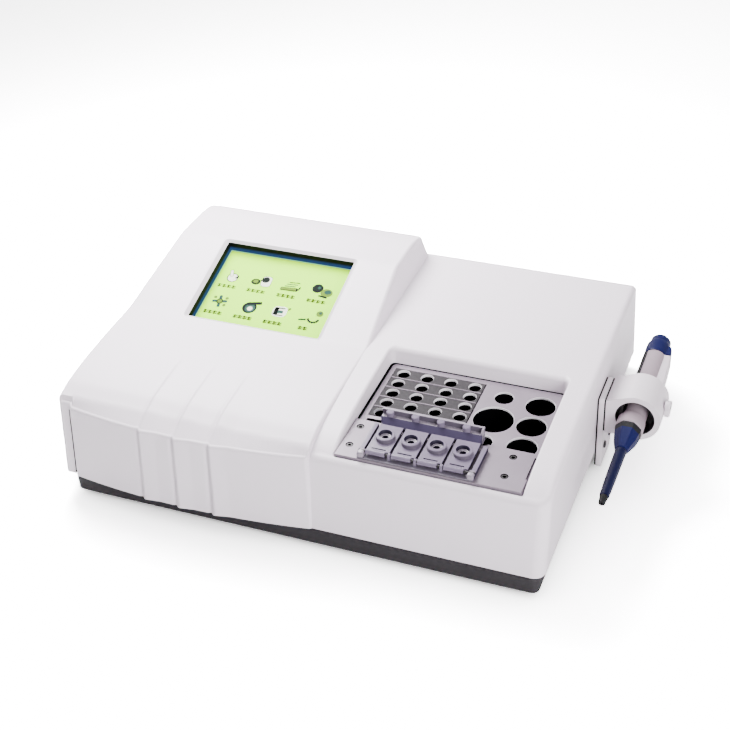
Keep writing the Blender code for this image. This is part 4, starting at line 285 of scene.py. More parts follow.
def turned(profile, centre, axis="Z", steps=48, indices=None, turn=0.0):
    """Turned solid: radius and place pairs along an axis through a centre."""
    angles = [turn + 2 * pi * step / steps for step in range(steps)]
    return ringed([[Vector(AXES[axis](radius * cos(angle), radius * sin(angle), place)) + Vector(centre)
                    for angle in angles] for radius, place in profile], indices)


def rod(radius, start, end, centre, axis="Z", steps=48, index=0, turn=0.0):
    return turned(((radius, start), (radius, end)), centre, axis, steps, [index], turn)


def loop(left, low, right, high, radius, steps=ARC, pitch=None, front=None):
    """Outline of a rectangle with round corners, its sides divided where a pitch is given."""
    small = radius if front is None else front
    points = []
    corners = ((right - small, low + small, -pi / 2, small), (right - radius, high - radius, 0.0, radius),
               (left + radius, high - radius, pi / 2, radius), (left + small, low + small, pi, small))
    for x, y, start, size in corners:
        for step in range(steps + 1):
            angle = start + pi / 2 * step / steps
            points.append((x + size * cos(angle), y + size * sin(angle)))
    if pitch:
        dense = []
        for point, after in zip(points, points[1:] + points[:1]):
            length = (Vector(after) - Vector(point)).length
            count = max(1, int(length / pitch))
            dense += [tuple(Vector(point).lerp(Vector(after), share / count)) for share in range(count)]
        points = dense
    return points


def stacked(low, high, levels, corner, steps=ARC, front=None):
    """Block with round corners: its outline stands in by an inset at each height."""
    return ringed([[(x, y, z) for x, y in loop(low.x + inset, low.y + inset, high.x - inset, high.y - inset,
                                               corner, steps, None, front)] for inset, z in levels])


def window(levels, indices=None):
    """Rings round the screen: how far out, corner radius and height of each."""
    rings = []
    for spread, radius, z in levels:
        half_x, half_y = SCREEN_WIDTH / 2 + spread, SCREEN_LENGTH / 2 + spread
        rings.append([(x, y, z) for x, y in loop(-half_x, -half_y, half_x, half_y, radius, 3)])
    return ringed(rings, indices)


# Mesh tools
def item_of(name, mesh, finishes, matrix=CORNER):
    """Object from a filled bmesh."""
    bmesh.ops.recalc_face_normals(mesh, faces=mesh.faces)
    data = bpy.data.meshes.new(name)
    mesh.to_mesh(data)
    mesh.free()
    made = bpy.data.objects.new(name, data)
    bpy.context.scene.collection.objects.link(made)
    made.matrix_world = matrix
    for finish in finishes if isinstance(finishes, (list, tuple)) else [finishes]:
        data.materials.append(finish)
    return made


def built(name, finishes, *shapes, matrix=CORNER):
    """Object from shapes."""
    mesh = bmesh.new()
    for points, faces in shapes:
        corners = [mesh.verts.new(point) for point in points]
        for face, index in faces:
            mesh.faces.new([corners[corner] for corner in face]).material_index = index
    return item_of(name, mesh, finishes, matrix)


def bake(item):
    """Turn an object's modifiers into its mesh."""
    bpy.context.view_layer.update()
    mesh = bpy.data.meshes.new_from_object(item.evaluated_get(bpy.context.evaluated_depsgraph_get()))
    item.modifiers.clear()
    item.data = mesh
    return item


def combine(item, *tools, how="DIFFERENCE"):
    """Cut or join with other objects, which are then gone."""
    for tool in tools:
        step = item.modifiers.new(tool.name, "BOOLEAN")
        step.operation, step.solver, step.object, step.material_mode = how, "EXACT", tool, "TRANSFER"
    bake(item)
    for tool in tools:
        bpy.data.objects.remove(tool, do_unlink=True)
    return item


def cut(item, finishes, *shapes, how="DIFFERENCE", matrix=CORNER):
    """Cut shapes out of an object, or join them to it."""
    combine(item, built("tool", finishes, *shapes, matrix=matrix), how=how)


def rounded(item, width, segments=2, limit=30.0):
    step = item.modifiers.new("round_edges", "BEVEL")
    step.width, step.segments, step.limit_method, step.angle_limit = width, segments, "ANGLE", radians(limit)
    return bake(item)


def darkened(item, index, axis=None):
    """Give an object's upright faces, or those square to one axis, another of its finishes: here a darker
    one, as painted shade.
    """
    for face in item.data.polygons:
        chosen = abs(face.normal.z) < 0.5 if axis is None else abs(face.normal[axis]) > 0.9
        if chosen:
            face.material_index = index
    return item


def finished(item, body, slot, *nodes, limit=35.0):
    """Smooth shading, the piece's body and the CAD nodes that it stands for, which it hides; the slot is not
    used.
    """
    item.data.shade_smooth()
    item.data.set_sharp_from_angle(angle=radians(limit))
    step = item.modifiers.new("normals", "WEIGHTED_NORMAL")
    step.keep_sharp = True
    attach(item, body)
    if nodes:
        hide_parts(*nodes)


def repaint(finish, *nodes):
    """Give CAD nodes a procedural finish."""
    for name in nodes:
        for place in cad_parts[name].material_slots:
            place.material = finish


# The cover's form
def interpolate(points, place):
    if place <= points[0][0]:
        return points[0][1]
    for (start, low), (end, high) in zip(points, points[1:]):
        if place <= end:
            return low + (high - low) * (place - start) / (end - start)
    return points[-1][1]


def softened(points, spread, length):
    """Heights every half millimetre, each the mean over a short span."""
    return [sum(interpolate(points, index * STEP + spread * part / 4) for part in range(-4, 5)) / 9
            for index in range(int(length / STEP) + 2)]


def height_at(heights, place):
    place = min(max(place / STEP, 0.0), len(heights) - 1.001)
    index = int(place)
    return heights[index] + (heights[index + 1] - heights[index]) * (place - index)


def crest_of_module():
    """Places from front to back and heights there, along the middle of the screen half."""
    flat = 0.0020
    front, rear = SCREEN_FRONT - flat, SCREEN_FRONT + SCREEN_LENGTH * cos(SLOPE) + flat
    before = [(BROW_DEPTH + share * (front - BROW_DEPTH), height * MODULE_HEIGHT) for share, height in (
        (0.114, 0.758), (0.203, 0.770), (0.310, 0.779), (0.458, 0.786), (0.636, 0.790), (0.840, 0.792))]
    sloped = [(place, SCREEN_HEIGHT + tan(SLOPE) * (place - SCREEN_FRONT)) for place in (front, rear)]
    behind = [(rear + share * (TRAY_DEPTH - rear), height * MODULE_HEIGHT) for share, height in (
        (0.069, 1.0), (0.404, 1.0), (0.553, 0.992), (0.683, 0.968), (0.795, 0.925))]
    return [(BROW_DEPTH, BROW_HEIGHT)] + before + sloped + behind


def rib_points():
    points = [(0.0, 0.0)]
    for rib in range(3):
        first = RIB_FIRST + RIB_PITCH * rib
        points += [(first - RIB_RISE, 0.0), (first, -RIB_DIP), (first + RIB_RISE, 1.0),
                   (first + RIB_RISE + RIB_FALL, 0.0)]
    return points


DECK_CREST = [(share * TRAY_DEPTH, height * DECK_HEIGHT) for share, height in (
    (0.036, 0.818), (0.050, 0.853), (0.072, 0.888), (0.105, 0.923), (0.150, 0.948), (0.210, 0.968),
    (0.300, 0.986), (0.420, 0.998), (0.520, 1.000), (1.000, 1.000))]
MODULE_LINE = softened(crest_of_module(), 0.0030, TRAY_DEPTH)
DECK_LINE = softened(DECK_CREST, 0.0030, TRAY_DEPTH)
RIB_LINE = softened(rib_points(), 0.0009, 0.22)


def shoulder_inset(z):
    return SHOULDER_LEAN * max(0.0, z - SHOULDER)


def case_left(y, z):
    return COVER_LEFT - COVER_BOW * sin(pi * min(max(y / TRAY_DEPTH, 0.0), 1.0)) + shoulder_inset(z)


def module_right(y, z):
    return MODULE_RIGHT - shoulder_inset(z) + STEP_LEAN * max(0.0, SHOULDER - z)


def rib_height(x):
    return RIB_HEIGHT * height_at(RIB_LINE, x)


def module_front(x, z):
    lean = FRONT_LEAN * (z - COVER_BOTTOM)
    if x < COVER_LEFT + PILLAR:
        return PILLAR_FRONT + lean
    return -FRONT_BOW * max(0.0, 1.0 - ((x - BOW_MIDDLE) / BOW_MIDDLE) ** 2) - rib_height(x) + lean


def case_rear(x, z):
    return TRAY_DEPTH + GAP - REAR_LEAN * z


def module_top(x, y):
    edge = module_front(x, FACE_TOP)
    if y < BROW_DEPTH:
        share = max(0.0, y - edge) / (BROW_DEPTH - edge)
        return FACE_TOP + (height_at(MODULE_LINE, BROW_DEPTH) - FACE_TOP + rib_height(x)) * share
    fade = max(0.0, 1.0 - (y - BROW_DEPTH) / (RIB_REACH - BROW_DEPTH))
    return height_at(MODULE_LINE, y) + rib_height(x) * fade


def deck_top(x, y):
    return height_at(DECK_LINE, y)


MODULE_SIDES = (case_left, module_right, module_front, case_rear)
DECK_SIDES = (lambda y, z: MODULE_RIGHT - MODULE_OVERLAP, lambda y, z: COVER_RIGHT,
              lambda x, z: DECK_FRONT + DECK_LEAN * (z - COVER_BOTTOM), case_rear)


def corner_shift(x, y, width, depth, radii, inset):
    """Move a point of a rectangle's plan so that the grid follows its round corners."""
    radius = radii[(1 if x > width / 2 else 0) + (2 if y > depth / 2 else 0)] - inset
    from_left, from_front = min(x, width - x), min(y, depth - y)
    if radius <= 0.0 or from_left >= radius or from_front >= radius:
        return x, y
    out_x, out_y = (radius - from_left) / radius, (radius - from_front) / radius
    reach = max(out_x, out_y)
    angle = pi / 4 * min(out_x, out_y) / reach
    small, large = reach * sin(angle), reach * cos(angle)
    out_x, out_y = (small, large) if out_y >= out_x else (large, small)
    new_x, new_y = radius * (1.0 - out_x), radius * (1.0 - out_y)
    return (new_x if x <= width - x else width - new_x), (new_y if y <= depth - y else depth - new_y)


def crowned(name, sides, top, radii, columns, rows, edge, bottom, inset, arc):
    """Closed box with a shaped top, a round rim and walls that follow the plan outline."""
    mesh = bmesh.new()
    left, right, front, rear = sides
    wide, deep = len(columns), len(rows)
    tuck, foot = 0.0006, 0.0010

    def shaped(across, back, more, z=None):
        """Point of the top, or of the wall at a height."""
        total = more + inset
        height = SHOULDER if z is None else z
        x, y = COVER_LEFT, BROW_DEPTH
        for repeat in range(4):
            low_x, high_x = left(y, height) + total, right(y, height) - total
            low_y, high_y = front(x, height) + total, rear(x, height) - total
            width, depth = high_x - low_x, high_y - low_y
            shift_x, shift_y = corner_shift(across * width, back * depth, width, depth, radii, total)
            x, y = low_x + shift_x, low_y + shift_y
            if z is None:
                height = top(x, y)
        return x, y, height

    grid = {}
    for column, across in enumerate(columns):
        for row, back in enumerate(rows):
            x, y, z = shaped(across, back, edge)
            grid[column, row] = mesh.verts.new((x, y, z - inset))
    for column in range(wide - 1):
        for row in range(deep - 1):
            mesh.faces.new((grid[column, row], grid[column + 1, row], grid[column + 1, row + 1],
                            grid[column, row + 1]))
    rim = [(column, 0) for column in range(wide)] + [(wide - 1, row) for row in range(1, deep)]
    rim += [(column, deep - 1) for column in range(wide - 2, -1, -1)]
    rim += [(0, row) for row in range(deep - 2, 0, -1)]
    rings = [[grid[key] for key in rim]]

    def add_ring(more, heights):
        rings.append([mesh.verts.new(shaped(columns[column], rows[row], more, height))
                      for (column, row), height in zip(rim, heights)])

    for step in range(1, arc + 1):
        angle = pi / 2 * step / arc
        add_ring(edge * (1.0 - sin(angle)), [point.co.z - edge * (1.0 - cos(angle)) for point in rings[0]])
    for level in (SHOULDER, bottom + foot, bottom):
        add_ring(tuck if level == bottom and not inset else 0.0,
                 [min(point.co.z - GAP, level) for point in rings[-1]])
    for last, ring in zip(rings, rings[1:]):
        for index in range(len(rim)):
            after = (index + 1) % len(rim)
            mesh.faces.new((last[index], ring[index], ring[after], last[after]))
    mesh.faces.new(list(reversed(rings[-1])))
    return item_of(name, mesh, WHITE)


def shares(low, high, places, starts, ends):
    """Grid lines as shares of a side: those of the corners at both ends, and the places between."""
    length, clear = high - low, 0.0004
    values = [start / length for start in starts] + [1.0 - end / length for end in ends]
    values += [(place - low) / length for place in places
               if low + starts[-1] + clear < place < high - ends[-1] - clear]
    return sorted(values)


def steps_between(low, high, pitch):
    count = max(1, round((high - low) / pitch))
    return [low + (high - low) * index / count for index in range(count + 1)]


def corner_steps(radius, arc):
    return [radius * step / arc for step in range(arc + 1)]


def halves(name, inset, bottom, arc, fine):
    """The cover's screen half and deck half, joined."""
    depth = TRAY_DEPTH - REAR_LEAN * SHOULDER
    pillar = COVER_LEFT + PILLAR
    across = [pillar - GAP, pillar + GAP]
    if fine:
        across += steps_between(0.006, 0.064, 0.005) + steps_between(0.066, 0.152, 0.0010)
        across += steps_between(0.156, 0.204, 0.006)
    else:
        across += steps_between(0.02, 0.20, 0.02)
    pitch, deck_pitch = (0.0024, 0.010) if fine else (0.008, 0.03)
    tight, soft, rear = (corner_steps(radius, arc) for radius in (TIGHT, SOFT, REAR))
    module_rows = shares(0.0, depth, steps_between(0.004, depth - 0.012, pitch), tight, soft)
    deck_rows = shares(0.0, depth, steps_between(0.012, depth - 0.006, pitch), soft, rear)
    ends = tight + ([0.0045, 0.0065, 0.0085, SOFT] if fine else [SOFT])
    deck_left = MODULE_RIGHT - MODULE_OVERLAP
    module = crowned(name + "_screen_half", MODULE_SIDES, module_top, (TIGHT, TIGHT, SOFT, SOFT),
                     shares(COVER_LEFT, MODULE_RIGHT, across, ends, ends), module_rows, MODULE_RIM, bottom,
                     inset, arc)
    deck = crowned(name + "_deck_half", DECK_SIDES, deck_top, (TIGHT, SOFT, TIGHT, REAR),
                   shares(deck_left, COVER_RIGHT, steps_between(0.208, 0.390, deck_pitch), tight, soft),
                   deck_rows, DECK_RIM, bottom, inset, arc)
    return combine(module, deck, how="UNION")


def facing(place, low, high, corner):
    """Share of the outward direction along one axis: one at a side, falling to zero past the corner."""
    centre, half = (low + high) / 2, (high - low) / 2
    share = min(1.0, max(0.0, (abs(place - centre) - (half - corner)) / corner))
    return share if place > centre else -share


def pocket_point(x, y, turn):
    """Point of the pocket's wall (no turn) or of its rim, over a point of the outline at the block."""
    left, low, right, high = POCKET
    corner = REAR_CORNER if y > (low + high) / 2 else FRONT_CORNER
    out_x, out_y = facing(x, left, right, corner), facing(y, low, high, corner)
    rim_x, splay_x = (RIGHT_RIM, RIGHT_SPLAY) if out_x > 0.0 else (LEFT_RIM, LEFT_SPLAY)
    rim_y, splay_y = (REAR_RIM, REAR_SPLAY) if out_y > 0.0 else (FRONT_RIM, FRONT_SPLAY)
    rim = (rim_x * abs(out_x) + rim_y * abs(out_y)) / (abs(out_x) + abs(out_y))
    top = deck_top(x, y)
    if turn is None:
        return x, y, min(BLOCK_TOP, top - rim - GAP)
    rise = rim * sin(turn)
    lean = max(0.0, top - rim + rise - BLOCK_TOP) / (DECK_HEIGHT - BLOCK_TOP)
    spread_x = splay_x * lean + rim_x * (1.0 - cos(turn))
    spread_y = splay_y * lean + rim_y * (1.0 - cos(turn))
    return x + out_x * spread_x, y + out_y * spread_y, top - rim + rise


def pocket_tool():
    """Cutter for the pocket; its round rim is wide behind and on the left and follows the deck. Its lowest
    band, in the gap beside the block, is black: painted shade.
    """
    base = loop(*POCKET, REAR_CORNER, ARC, 0.005, FRONT_CORNER)
    rings = [[(x, y, BLOCK_TOP - 2 * OVERRUN) for x, y in base]]
    for turn in [None] + [pi / 2 * step / ARC for step in range(ARC)] + [pi / 2 * 0.95]:
        rings.append([pocket_point(x, y, turn) for x, y in base])
    rings.append([(x, y, DECK_HEIGHT + OVERRUN) for x, y, z in rings[-1]])
    return built("pocket_tool", [WHITE, PIT], ringed(rings, [1] + [0] * (len(rings) - 2)))


SCREEN = CORNER @ Matrix.Translation((
    SCREEN_LEFT + SCREEN_WIDTH / 2, SCREEN_FRONT + SCREEN_LENGTH / 2 * cos(SLOPE),
    SCREEN_HEIGHT + SCREEN_LENGTH / 2 * sin(SLOPE))) @ Matrix.Rotation(SLOPE, 4, "X")
REAR_WALL = CORNER @ Matrix.Translation((
    0.0, case_rear(0.0, OPENING_HEIGHT), OPENING_HEIGHT)) @ Matrix.Rotation(atan(REAR_LEAN), 4, "X")


def cover():
    shell = halves("cover", 0.0, COVER_BOTTOM, ARC, True)
    hollow = halves("hollow", COVER_WALL, COVER_BOTTOM + COVER_WALL, 2, False)
    left, low, right, high = POCKET
    around = POCKET_WALL + SURROUND
    cut(hollow, WHITE, box((left - around, -0.02, BLOCK_TOP - POCKET_WALL),
                           (right + around, high + around, DECK_HEIGHT + OVERRUN)))
    combine(shell, hollow)
    edge, base_top = 0.010, COVER_BOTTOM + COVER_WALL + OVERRUN
    base = box((COVER_LEFT + edge, edge, -OVERRUN), (COVER_RIGHT - edge, TRAY_DEPTH - edge, base_top))
    # The window's chamfer takes the darker white: painted shade
    screen_tool = built("screen_tool", [WHITE, EDGE], window((
        (0.0006, 0.0012, -SCREEN_DEPTH - 0.0002), (0.0006, 0.0012, -0.0024), (0.0, 0.0010, -0.0022),
        (0.0003, 0.0012, -0.0018), (0.0027, 0.0030, -0.0003), (0.0034, 0.0036, 0.00006),
        (0.0036, 0.0038, OVERRUN)), [0, 0, 0, 1, 1, 0]), matrix=SCREEN)
    low, high = 0.0200 - OPENING_HEIGHT, 0.0790 - OPENING_HEIGHT
    opening = box((0.050, -COVER_WALL - OVERRUN, low), (0.352, OVERRUN, high))
    # The seam groove between the pillar and the front panel is cut with black faces: painted shade in the
    # groove
    outside, seam_low, seam_high, seam_left, seam_right = -0.012, 0.013, 0.0762, 0.0004, 0.0028
    outline = ((outside, seam_low), (0.0040, seam_low), (0.0120, seam_high), (outside, seam_high))
    seam = prism(outline, seam_left, seam_right, "X")
    combine(shell, pocket_tool(), built("base_tool", WHITE, base), screen_tool,
            built("opening_tool", WHITE, opening, matrix=REAR_WALL), built("seam_tool", BLACK_AND_SHADE, seam))
    shell.name = "cover_shell"
    finished(shell, "case", "case_white", "top_cover", limit=40.0)


# Base
def tray():
    wall, floor, corner, inner_corner = 0.0028, 0.0030, 0.006, 0.0032
    levels = ((0.0012, 0.0), (0.0004, 0.0005), (0.0, 0.0016), (0.0, TRAY_HEIGHT - 0.0008),
              (0.0006, TRAY_HEIGHT))
    body = built("tray_pan", TRAY, ringed([
        [(x, y, z) for x, y in loop(inset, inset, TRAY_WIDTH - inset, TRAY_DEPTH - inset, corner - inset)]
        for inset, z in levels]))
    inside = loop(wall, wall, TRAY_WIDTH - wall, TRAY_DEPTH - wall, inner_corner)
    cut(body, TRAY, prism(inside, floor, TRAY_HEIGHT + OVERRUN))
    board_top, block_top = 0.0097, 0.0294
    places = [(x, y, board_top) for x in (0.028, 0.197) for y in (0.058, 0.207)]
    places += [(x, y, block_top) for x in (0.240, 0.3738) for y in (0.025, 0.1388)]
    bosses = [turned(((0.0048, 0.0020), (0.0042, 0.0040), (0.0040, top)), (x, y, 0.0), "Z", 24)
              for x, y, top in places]
    cut(body, TRAY, *bosses, how="UNION")
    finished(body, "case", "tray_grey", "base_tray")


def feet():
    profile = ((0.0078, -0.0063), (0.0090, -0.0058), (0.0095, -0.0048), (0.0095, -0.0022), (0.0090, -0.0016),
               (0.0082, -GAP))
    for number in range(1, 5):
        x, y = middle("foot_%d" % number).xy
        foot = built("rubber_foot_%d" % number, RUBBER, turned(profile, (x, y, 0.0), "Z", 40))
        finished(foot, "case", "rubber_black", "foot_%d" % number)


# Screen
def display():
    inner, glass, lip, front = SCREEN_DEPTH, 0.0014, 0.0032, 0.00225
    surround = built("screen_surround", [BEZEL, WALL], window((
        (0.0033, 0.0012, -inner), (0.0033, 0.0012, -lip - GAP), (0.0030, 0.0010, -lip),
        (0.0005, 0.0010, -lip), (0.0005, 0.0010, -front))), matrix=SCREEN)
    hole = window(((0.0001, 0.0008, -inner - OVERRUN), (0.0001, 0.0008, OVERRUN)))
    cut(surround, WALL, hole, matrix=SCREEN)
    finished(surround, "case", "bezel_black", "display_bezel")
    top, edge = -inner - GAP, 0.0002
    panel = window(((0.0033, 0.0012, top - glass), (0.0033, 0.0012, top - edge), (0.0031, 0.0010, top)))
    finished(built("touch_glass", LCD, panel, matrix=SCREEN), "case", "screen_glass", "touch_panel")
    signs(top + 0.00002)


def disc(x, y, radius, index, steps=20, squash=1.0):
    """Outline of a disc in a picture's units, and its finish index."""
    angles = [2 * pi * step / steps for step in range(steps)]
    return [(x + radius * cos(angle), y + squash * radius * sin(angle)) for angle in angles], index


def bar(x, y, length, width, degrees, index):
    """Outline of a round-ended bar in a picture's units, and its finish index."""
    c, s = cos(radians(degrees)), sin(radians(degrees))
    outline = loop(-length / 2, -width / 2, length / 2, width / 2, width * 0.3, 2)
    return [(x + c * a - s * b, y + s * a + c * b) for a, b in outline], index


def pictures():
    """Generic signs: each one's centre in millimetres, and its flat shapes from the lowest up."""
    dark, light, teal, olive = range(4)
    marker = [disc(0, -1.5, 4.4, dark), disc(0, -1.5, 3.8, light), bar(-2.2, 2.6, 6.6, 2.7, 105, dark),
              bar(-2.2, 2.6, 5.9, 2.0, 105, light), bar(3.3, -0.4, 3.4, 1.4, 60, dark)]
    page = [bar(3.6, 0, 10.5, 8.0, 92, dark), bar(3.6, 0, 9.9, 7.4, 92, light), disc(2.6, 1.6, 2.9, dark),
            disc(-4.4, -1.6, 3.6, dark, squash=0.8), disc(-4.4, -1.2, 2.2, olive, squash=0.8),
            bar(-0.6, 0.2, 5.0, 1.2, 30, dark)]
    keys = [bar(1.0 - row, 3.4 - 2.0 * row, 8.5, 0.8, 4, teal if row else dark) for row in range(3)]
    keys += [bar(-1.0, -3.4, 13.5, 3.2, 3, dark), bar(-1.4, -3.2, 11.6, 2.2, 3, olive),
             bar(6.4, -1.6, 3.6, 1.1, 75, dark)]
    drops = [disc(-3.6, 1.8, 4.2, dark), disc(-2.6, 2.6, 1.3, teal), disc(4.2, -1.2, 4.6, olive, squash=0.85),
             disc(5.0, -0.4, 2.6, teal, squash=0.8), bar(2.6, -5.2, 7.0, 1.5, -8, dark)]
    cross = [bar(0, 0, 11.5, 2.3, degrees, teal) for degrees in (8, 98)]
    cross += [disc(0, 0, 2.6, dark), disc(0, 0, 1.7, olive)]
    cross += [disc(x, y, 1.3, olive, 12) for x, y in ((-4.6, 3.2), (4.6, -3.0), (4.4, 3.6))]
    dial = [disc(0, -1.2, 5.4, dark), disc(0.6, -1.6, 4.0, teal), disc(0.6, -2.0, 2.0, light),
            bar(2.4, 3.4, 11.0, 2.6, 14, dark)]
    table = [bar(0, 0, 11.0, 10.0, 2, light), bar(0, 3.2, 6.5, 1.0, 2, dark), bar(-2.8, 0, 1.0, 7.2, 2, dark),
             bar(0.6, -0.2, 4.2, 2.8, 2, teal), bar(0.4, -3.4, 6.0, 0.8, 2, dark),
             bar(6.2, 3.6, 2.8, 1.6, 50, olive)]
    arc = [radians(200 + 24 * step) for step in range(7)]
    curve = [disc(3.0 + 4.0 * cos(angle), 3.6 * sin(angle) - 1.0, 0.95, dark, 10) for angle in arc]
    curve += [bar(-4.8, -3.4, 5.6, 1.3, 12, dark), disc(6.0, 4.2, 2.6, olive), disc(6.4, 4.8, 1.2, teal)]
    upper, lower = 14.5, -16.5
    return ((-45.6, upper, marker), (-17.3, upper, page), (11.8, upper, keys), (40.3, upper, drops),
            (-45.7, lower, cross), (-16.1, lower, dial), (12.5, lower, table), (41.2, lower, curve))


def captions(olive):
    """Bars under the pictures, in millimetres, in blocks that read as words but carry no lettering."""
    bars = []
    for y, places in ((1.9, (-46.9, -18.5, 10.6, 39.5)), (-30.0, (-46.9, -18.0, 10.6, 39.4))):
        for number, x in enumerate(places):
            blocks = 2 if number == 3 and y < 0 else 4
            for block in range(blocks):
                left = x + (block - (blocks - 1) / 2) * 4.5
                bars += [bar(left, y + 1.0, 3.9, 0.8, 0, olive), bar(left, y - 0.9, 3.9, 0.9, 0, olive),
                         bar(left - 0.4, y, 1.1, 3.6, 0, olive)]
    return bars


def signs(level):
    """The screen's pictures and captions, each flat shape a little higher than the one before."""
    finishes, unit, size, layer = [INK, PAPER, TEAL, OLIVE], 0.001, 0.00122, 0.0000035
    shapes = [([(x * unit + a * size, y * unit + b * size) for a, b in outline], index)
              for x, y, picture in pictures() for outline, index in picture]
    shapes += [([(x * unit, y * unit) for x, y in outline], index)
               for outline, index in captions(finishes.index(OLIVE))]
    slabs = [prism(outline, level, level + layer * (number + 1), "Z", index)
             for number, (outline, index) in enumerate(shapes)]
    finished(built("screen_signs", finishes, *slabs, matrix=SCREEN), "case", "screen_glass")


# Block and rack
def pit(x, y, radius, bottom, top, bright, chamfer):
    """Hole with a flared mouth, a near white upper wall as painted highlight and a black inside as painted
    shade.
    """
    mouth = radius + chamfer * 0.8
    return turned(((radius * 0.80, bottom), (radius, bottom + radius * 0.25), (radius, top - bright),
                   (radius, top - chamfer), (mouth, top), (mouth, top + OVERRUN)), (x, y, 0.0), "Z", 48,
                  [1, 1, 0, 0, 0])


def block():
    rear_gap, chamfer = Vector((0.0, 0.0009, 0.0)), 0.0004
    levels = ((0.0, BLOCK_BOTTOM), (0.0, BLOCK_TOP - chamfer), (chamfer, BLOCK_TOP))
    shape = stacked(BLOCK_LOW, BLOCK_HIGH - rear_gap, levels, REAR_CORNER, ARC, FRONT_CORNER)
    # The block's upright sides are black: painted shade in the gap round it
    body = darkened(built("heated_block", [ALLOY, PIT], shape), 1)
    holes = [pit(x, y, radius, BLOCK_TOP - WELL_DEPTH, BLOCK_TOP, WELL_EDGE, GAP) for x, y, radius in WELLS]
    holes += [pit(x, CHANNEL_Y, CHANNEL_BORE, BLOCK_TOP - CHANNEL_DEPTH, BLOCK_TOP, CHANNEL_EDGE, GAP)
              for x in CHANNELS]
    motor, motor_top, under = 0.0130, BLOCK_BOTTOM + 0.0085, BLOCK_BOTTOM - OVERRUN
    holes.append(rod(motor, under, motor_top, (*WELLS[1][:2], 0.0), "Z", 40, 1))
    gaps = Vector((GAP, GAP, GAP))
    over = BLOCK_TOP + OVERRUN
    # The bed, slots and bores are cut black: painted shade, seen in the gap beside the rack
    bed = box(RACK_LOW - gaps, (RACK_HIGH.x + RACK_SIDE_GAP, RACK_HIGH.y + GAP, over))
    board_low, board_high = span("detector_board")
    slot_rear, slot_depth, slot_left = RACK_LOW.y - 0.0040, 0.0100, RACK_LOW.x + 0.0010
    board_slot = box((board_low.x - GAP, board_low.y - GAP, under), board_high + gaps)
    guide_slot = box((slot_left, PLATE_HIGH.y + GAP, BLOCK_TOP - slot_depth),
                     (GUIDE_LOW.x + OVERRUN, slot_rear, over))
    combine(body, built("bed_tool", PIT, bed), built("well_tool", [BRIGHT, PIT], *holes),
            built("slot_tool", PIT, board_slot, guide_slot))
    thread, thread_end = 0.0017, BLOCK_TOP - 0.0070
    bores = [rod(thread, thread_end, over, (place.x, place.y, 0.0), "Z", 16) for place in SCREWS]
    probe_low, probe_high = span("temperature_probe")
    bores.append(rod((probe_high.z - probe_low.z) / 2 + GAP, probe_low.x - GAP, BLOCK_HIGH.x + OVERRUN,
                     (0.0, *middle("temperature_probe").yz), "X", 20))
    cut(body, PIT, *bores)
    finished(body, "case", "block_aluminium", "incubation_block")


def insert():
    """Dark rack with four ridges and twenty flared holes."""
    levels = ((0.0, RACK_LOW.z), (0.0, BLOCK_TOP), (GAP, BLOCK_TOP + GAP))
    half, crown, corner = 0.0006, 0.0003, 0.0006
    shape = stacked(RACK_LOW, RACK_HIGH, levels, corner, 2)
    body = built("cuvette_rack", [INSERT, BRIGHT, PIT, ALLOY], shape)
    ridges = []
    for row in range(4):
        y = RACK_Y - RACK_ROW * (row + 0.5)
        ridges.append(prism(((y - half, BLOCK_TOP), (y + half, BLOCK_TOP), (y + crown, RACK_HIGH.z),
                             (y - crown, RACK_HIGH.z)), RACK_LOW.x + GAP, RACK_HIGH.x - GAP, "X"))
    cut(body, ALLOY, *ridges, how="UNION")
    holes = [pit(RACK_X + RACK_PITCH * column, RACK_Y - RACK_ROW * row, RACK_BORE, BLOCK_TOP - RACK_DEPTH,
                 BLOCK_TOP + GAP, RACK_EDGE, GAP) for row in range(5) for column in range(4)]
    cut(body, [BRIGHT, PIT], *holes)
    finished(body, "case", "insert_grey", "cuvette_insert")


# Channel plate, lids and guide
def plate():
    low, high, chamfer, corner = PLATE_LOW.z, PLATE_HIGH.z, 0.0003, 0.0006
    levels = ((0.0, low), (0.0, high - chamfer), (chamfer, high))
    front_left = Vector((PLATE_LOW.x, POCKET[1] + GAP, low))
    body = built("channel_cover_plate", [ALLOY, PIT], stacked(front_left, PLATE_HIGH, levels, corner, 3))
    seat, slot, slot_front, slot_rear = 0.0031, 0.0012, 0.0330, 0.0590
    start, end = low - OVERRUN, high + OVERRUN
    holes = [pit(x, CHANNEL_Y, CHANNEL_BORE, start, high, PLATE_EDGE, chamfer) for x in CHANNELS]
    # Screw seats and the slot at the right edge are cut black: painted shade
    holes += [rod(seat, start, end, (place.x, place.y, 0.0), "Z", 32, 1) for place in SCREWS]
    holes.append(rod(SMALL_WELL + GAP, start, end, (*WELLS[2][:2], 0.0)))
    holes.append(box((PLATE_HIGH.x - slot, slot_front, start), (PLATE_HIGH.x + OVERRUN, slot_rear, end), 1))
    cut(body, [BRIGHT, PIT], *holes)
    finished(body, "case", "block_aluminium", "channel_plate")


def plate_screws():
    low, shank, shank_length, head, head_height, edge = PLATE_LOW.z, 0.0013, 0.0060, 0.0026, 0.0016, 0.0004
    profile = ((shank, low - shank_length), (shank, low), (head, low), (head, low + head_height - edge),
               (head - edge, low + head_height))
    for number, place in enumerate(SCREWS, 1):
        centre = (place.x, place.y, 0.0)
        screw = built("socket_screw_%d" % number, [SCREW, PIT], turned(profile, centre, "Z", 32))
        # The hex socket is cut black: painted shade
        cut(screw, PIT, rod(head * 0.62, low + edge, low + OVERRUN, centre, "Z", 6, 0, radians(12)))
        finished(screw, "case", "screw_steel", "plate_screw_%d" % number, limit=25.0)


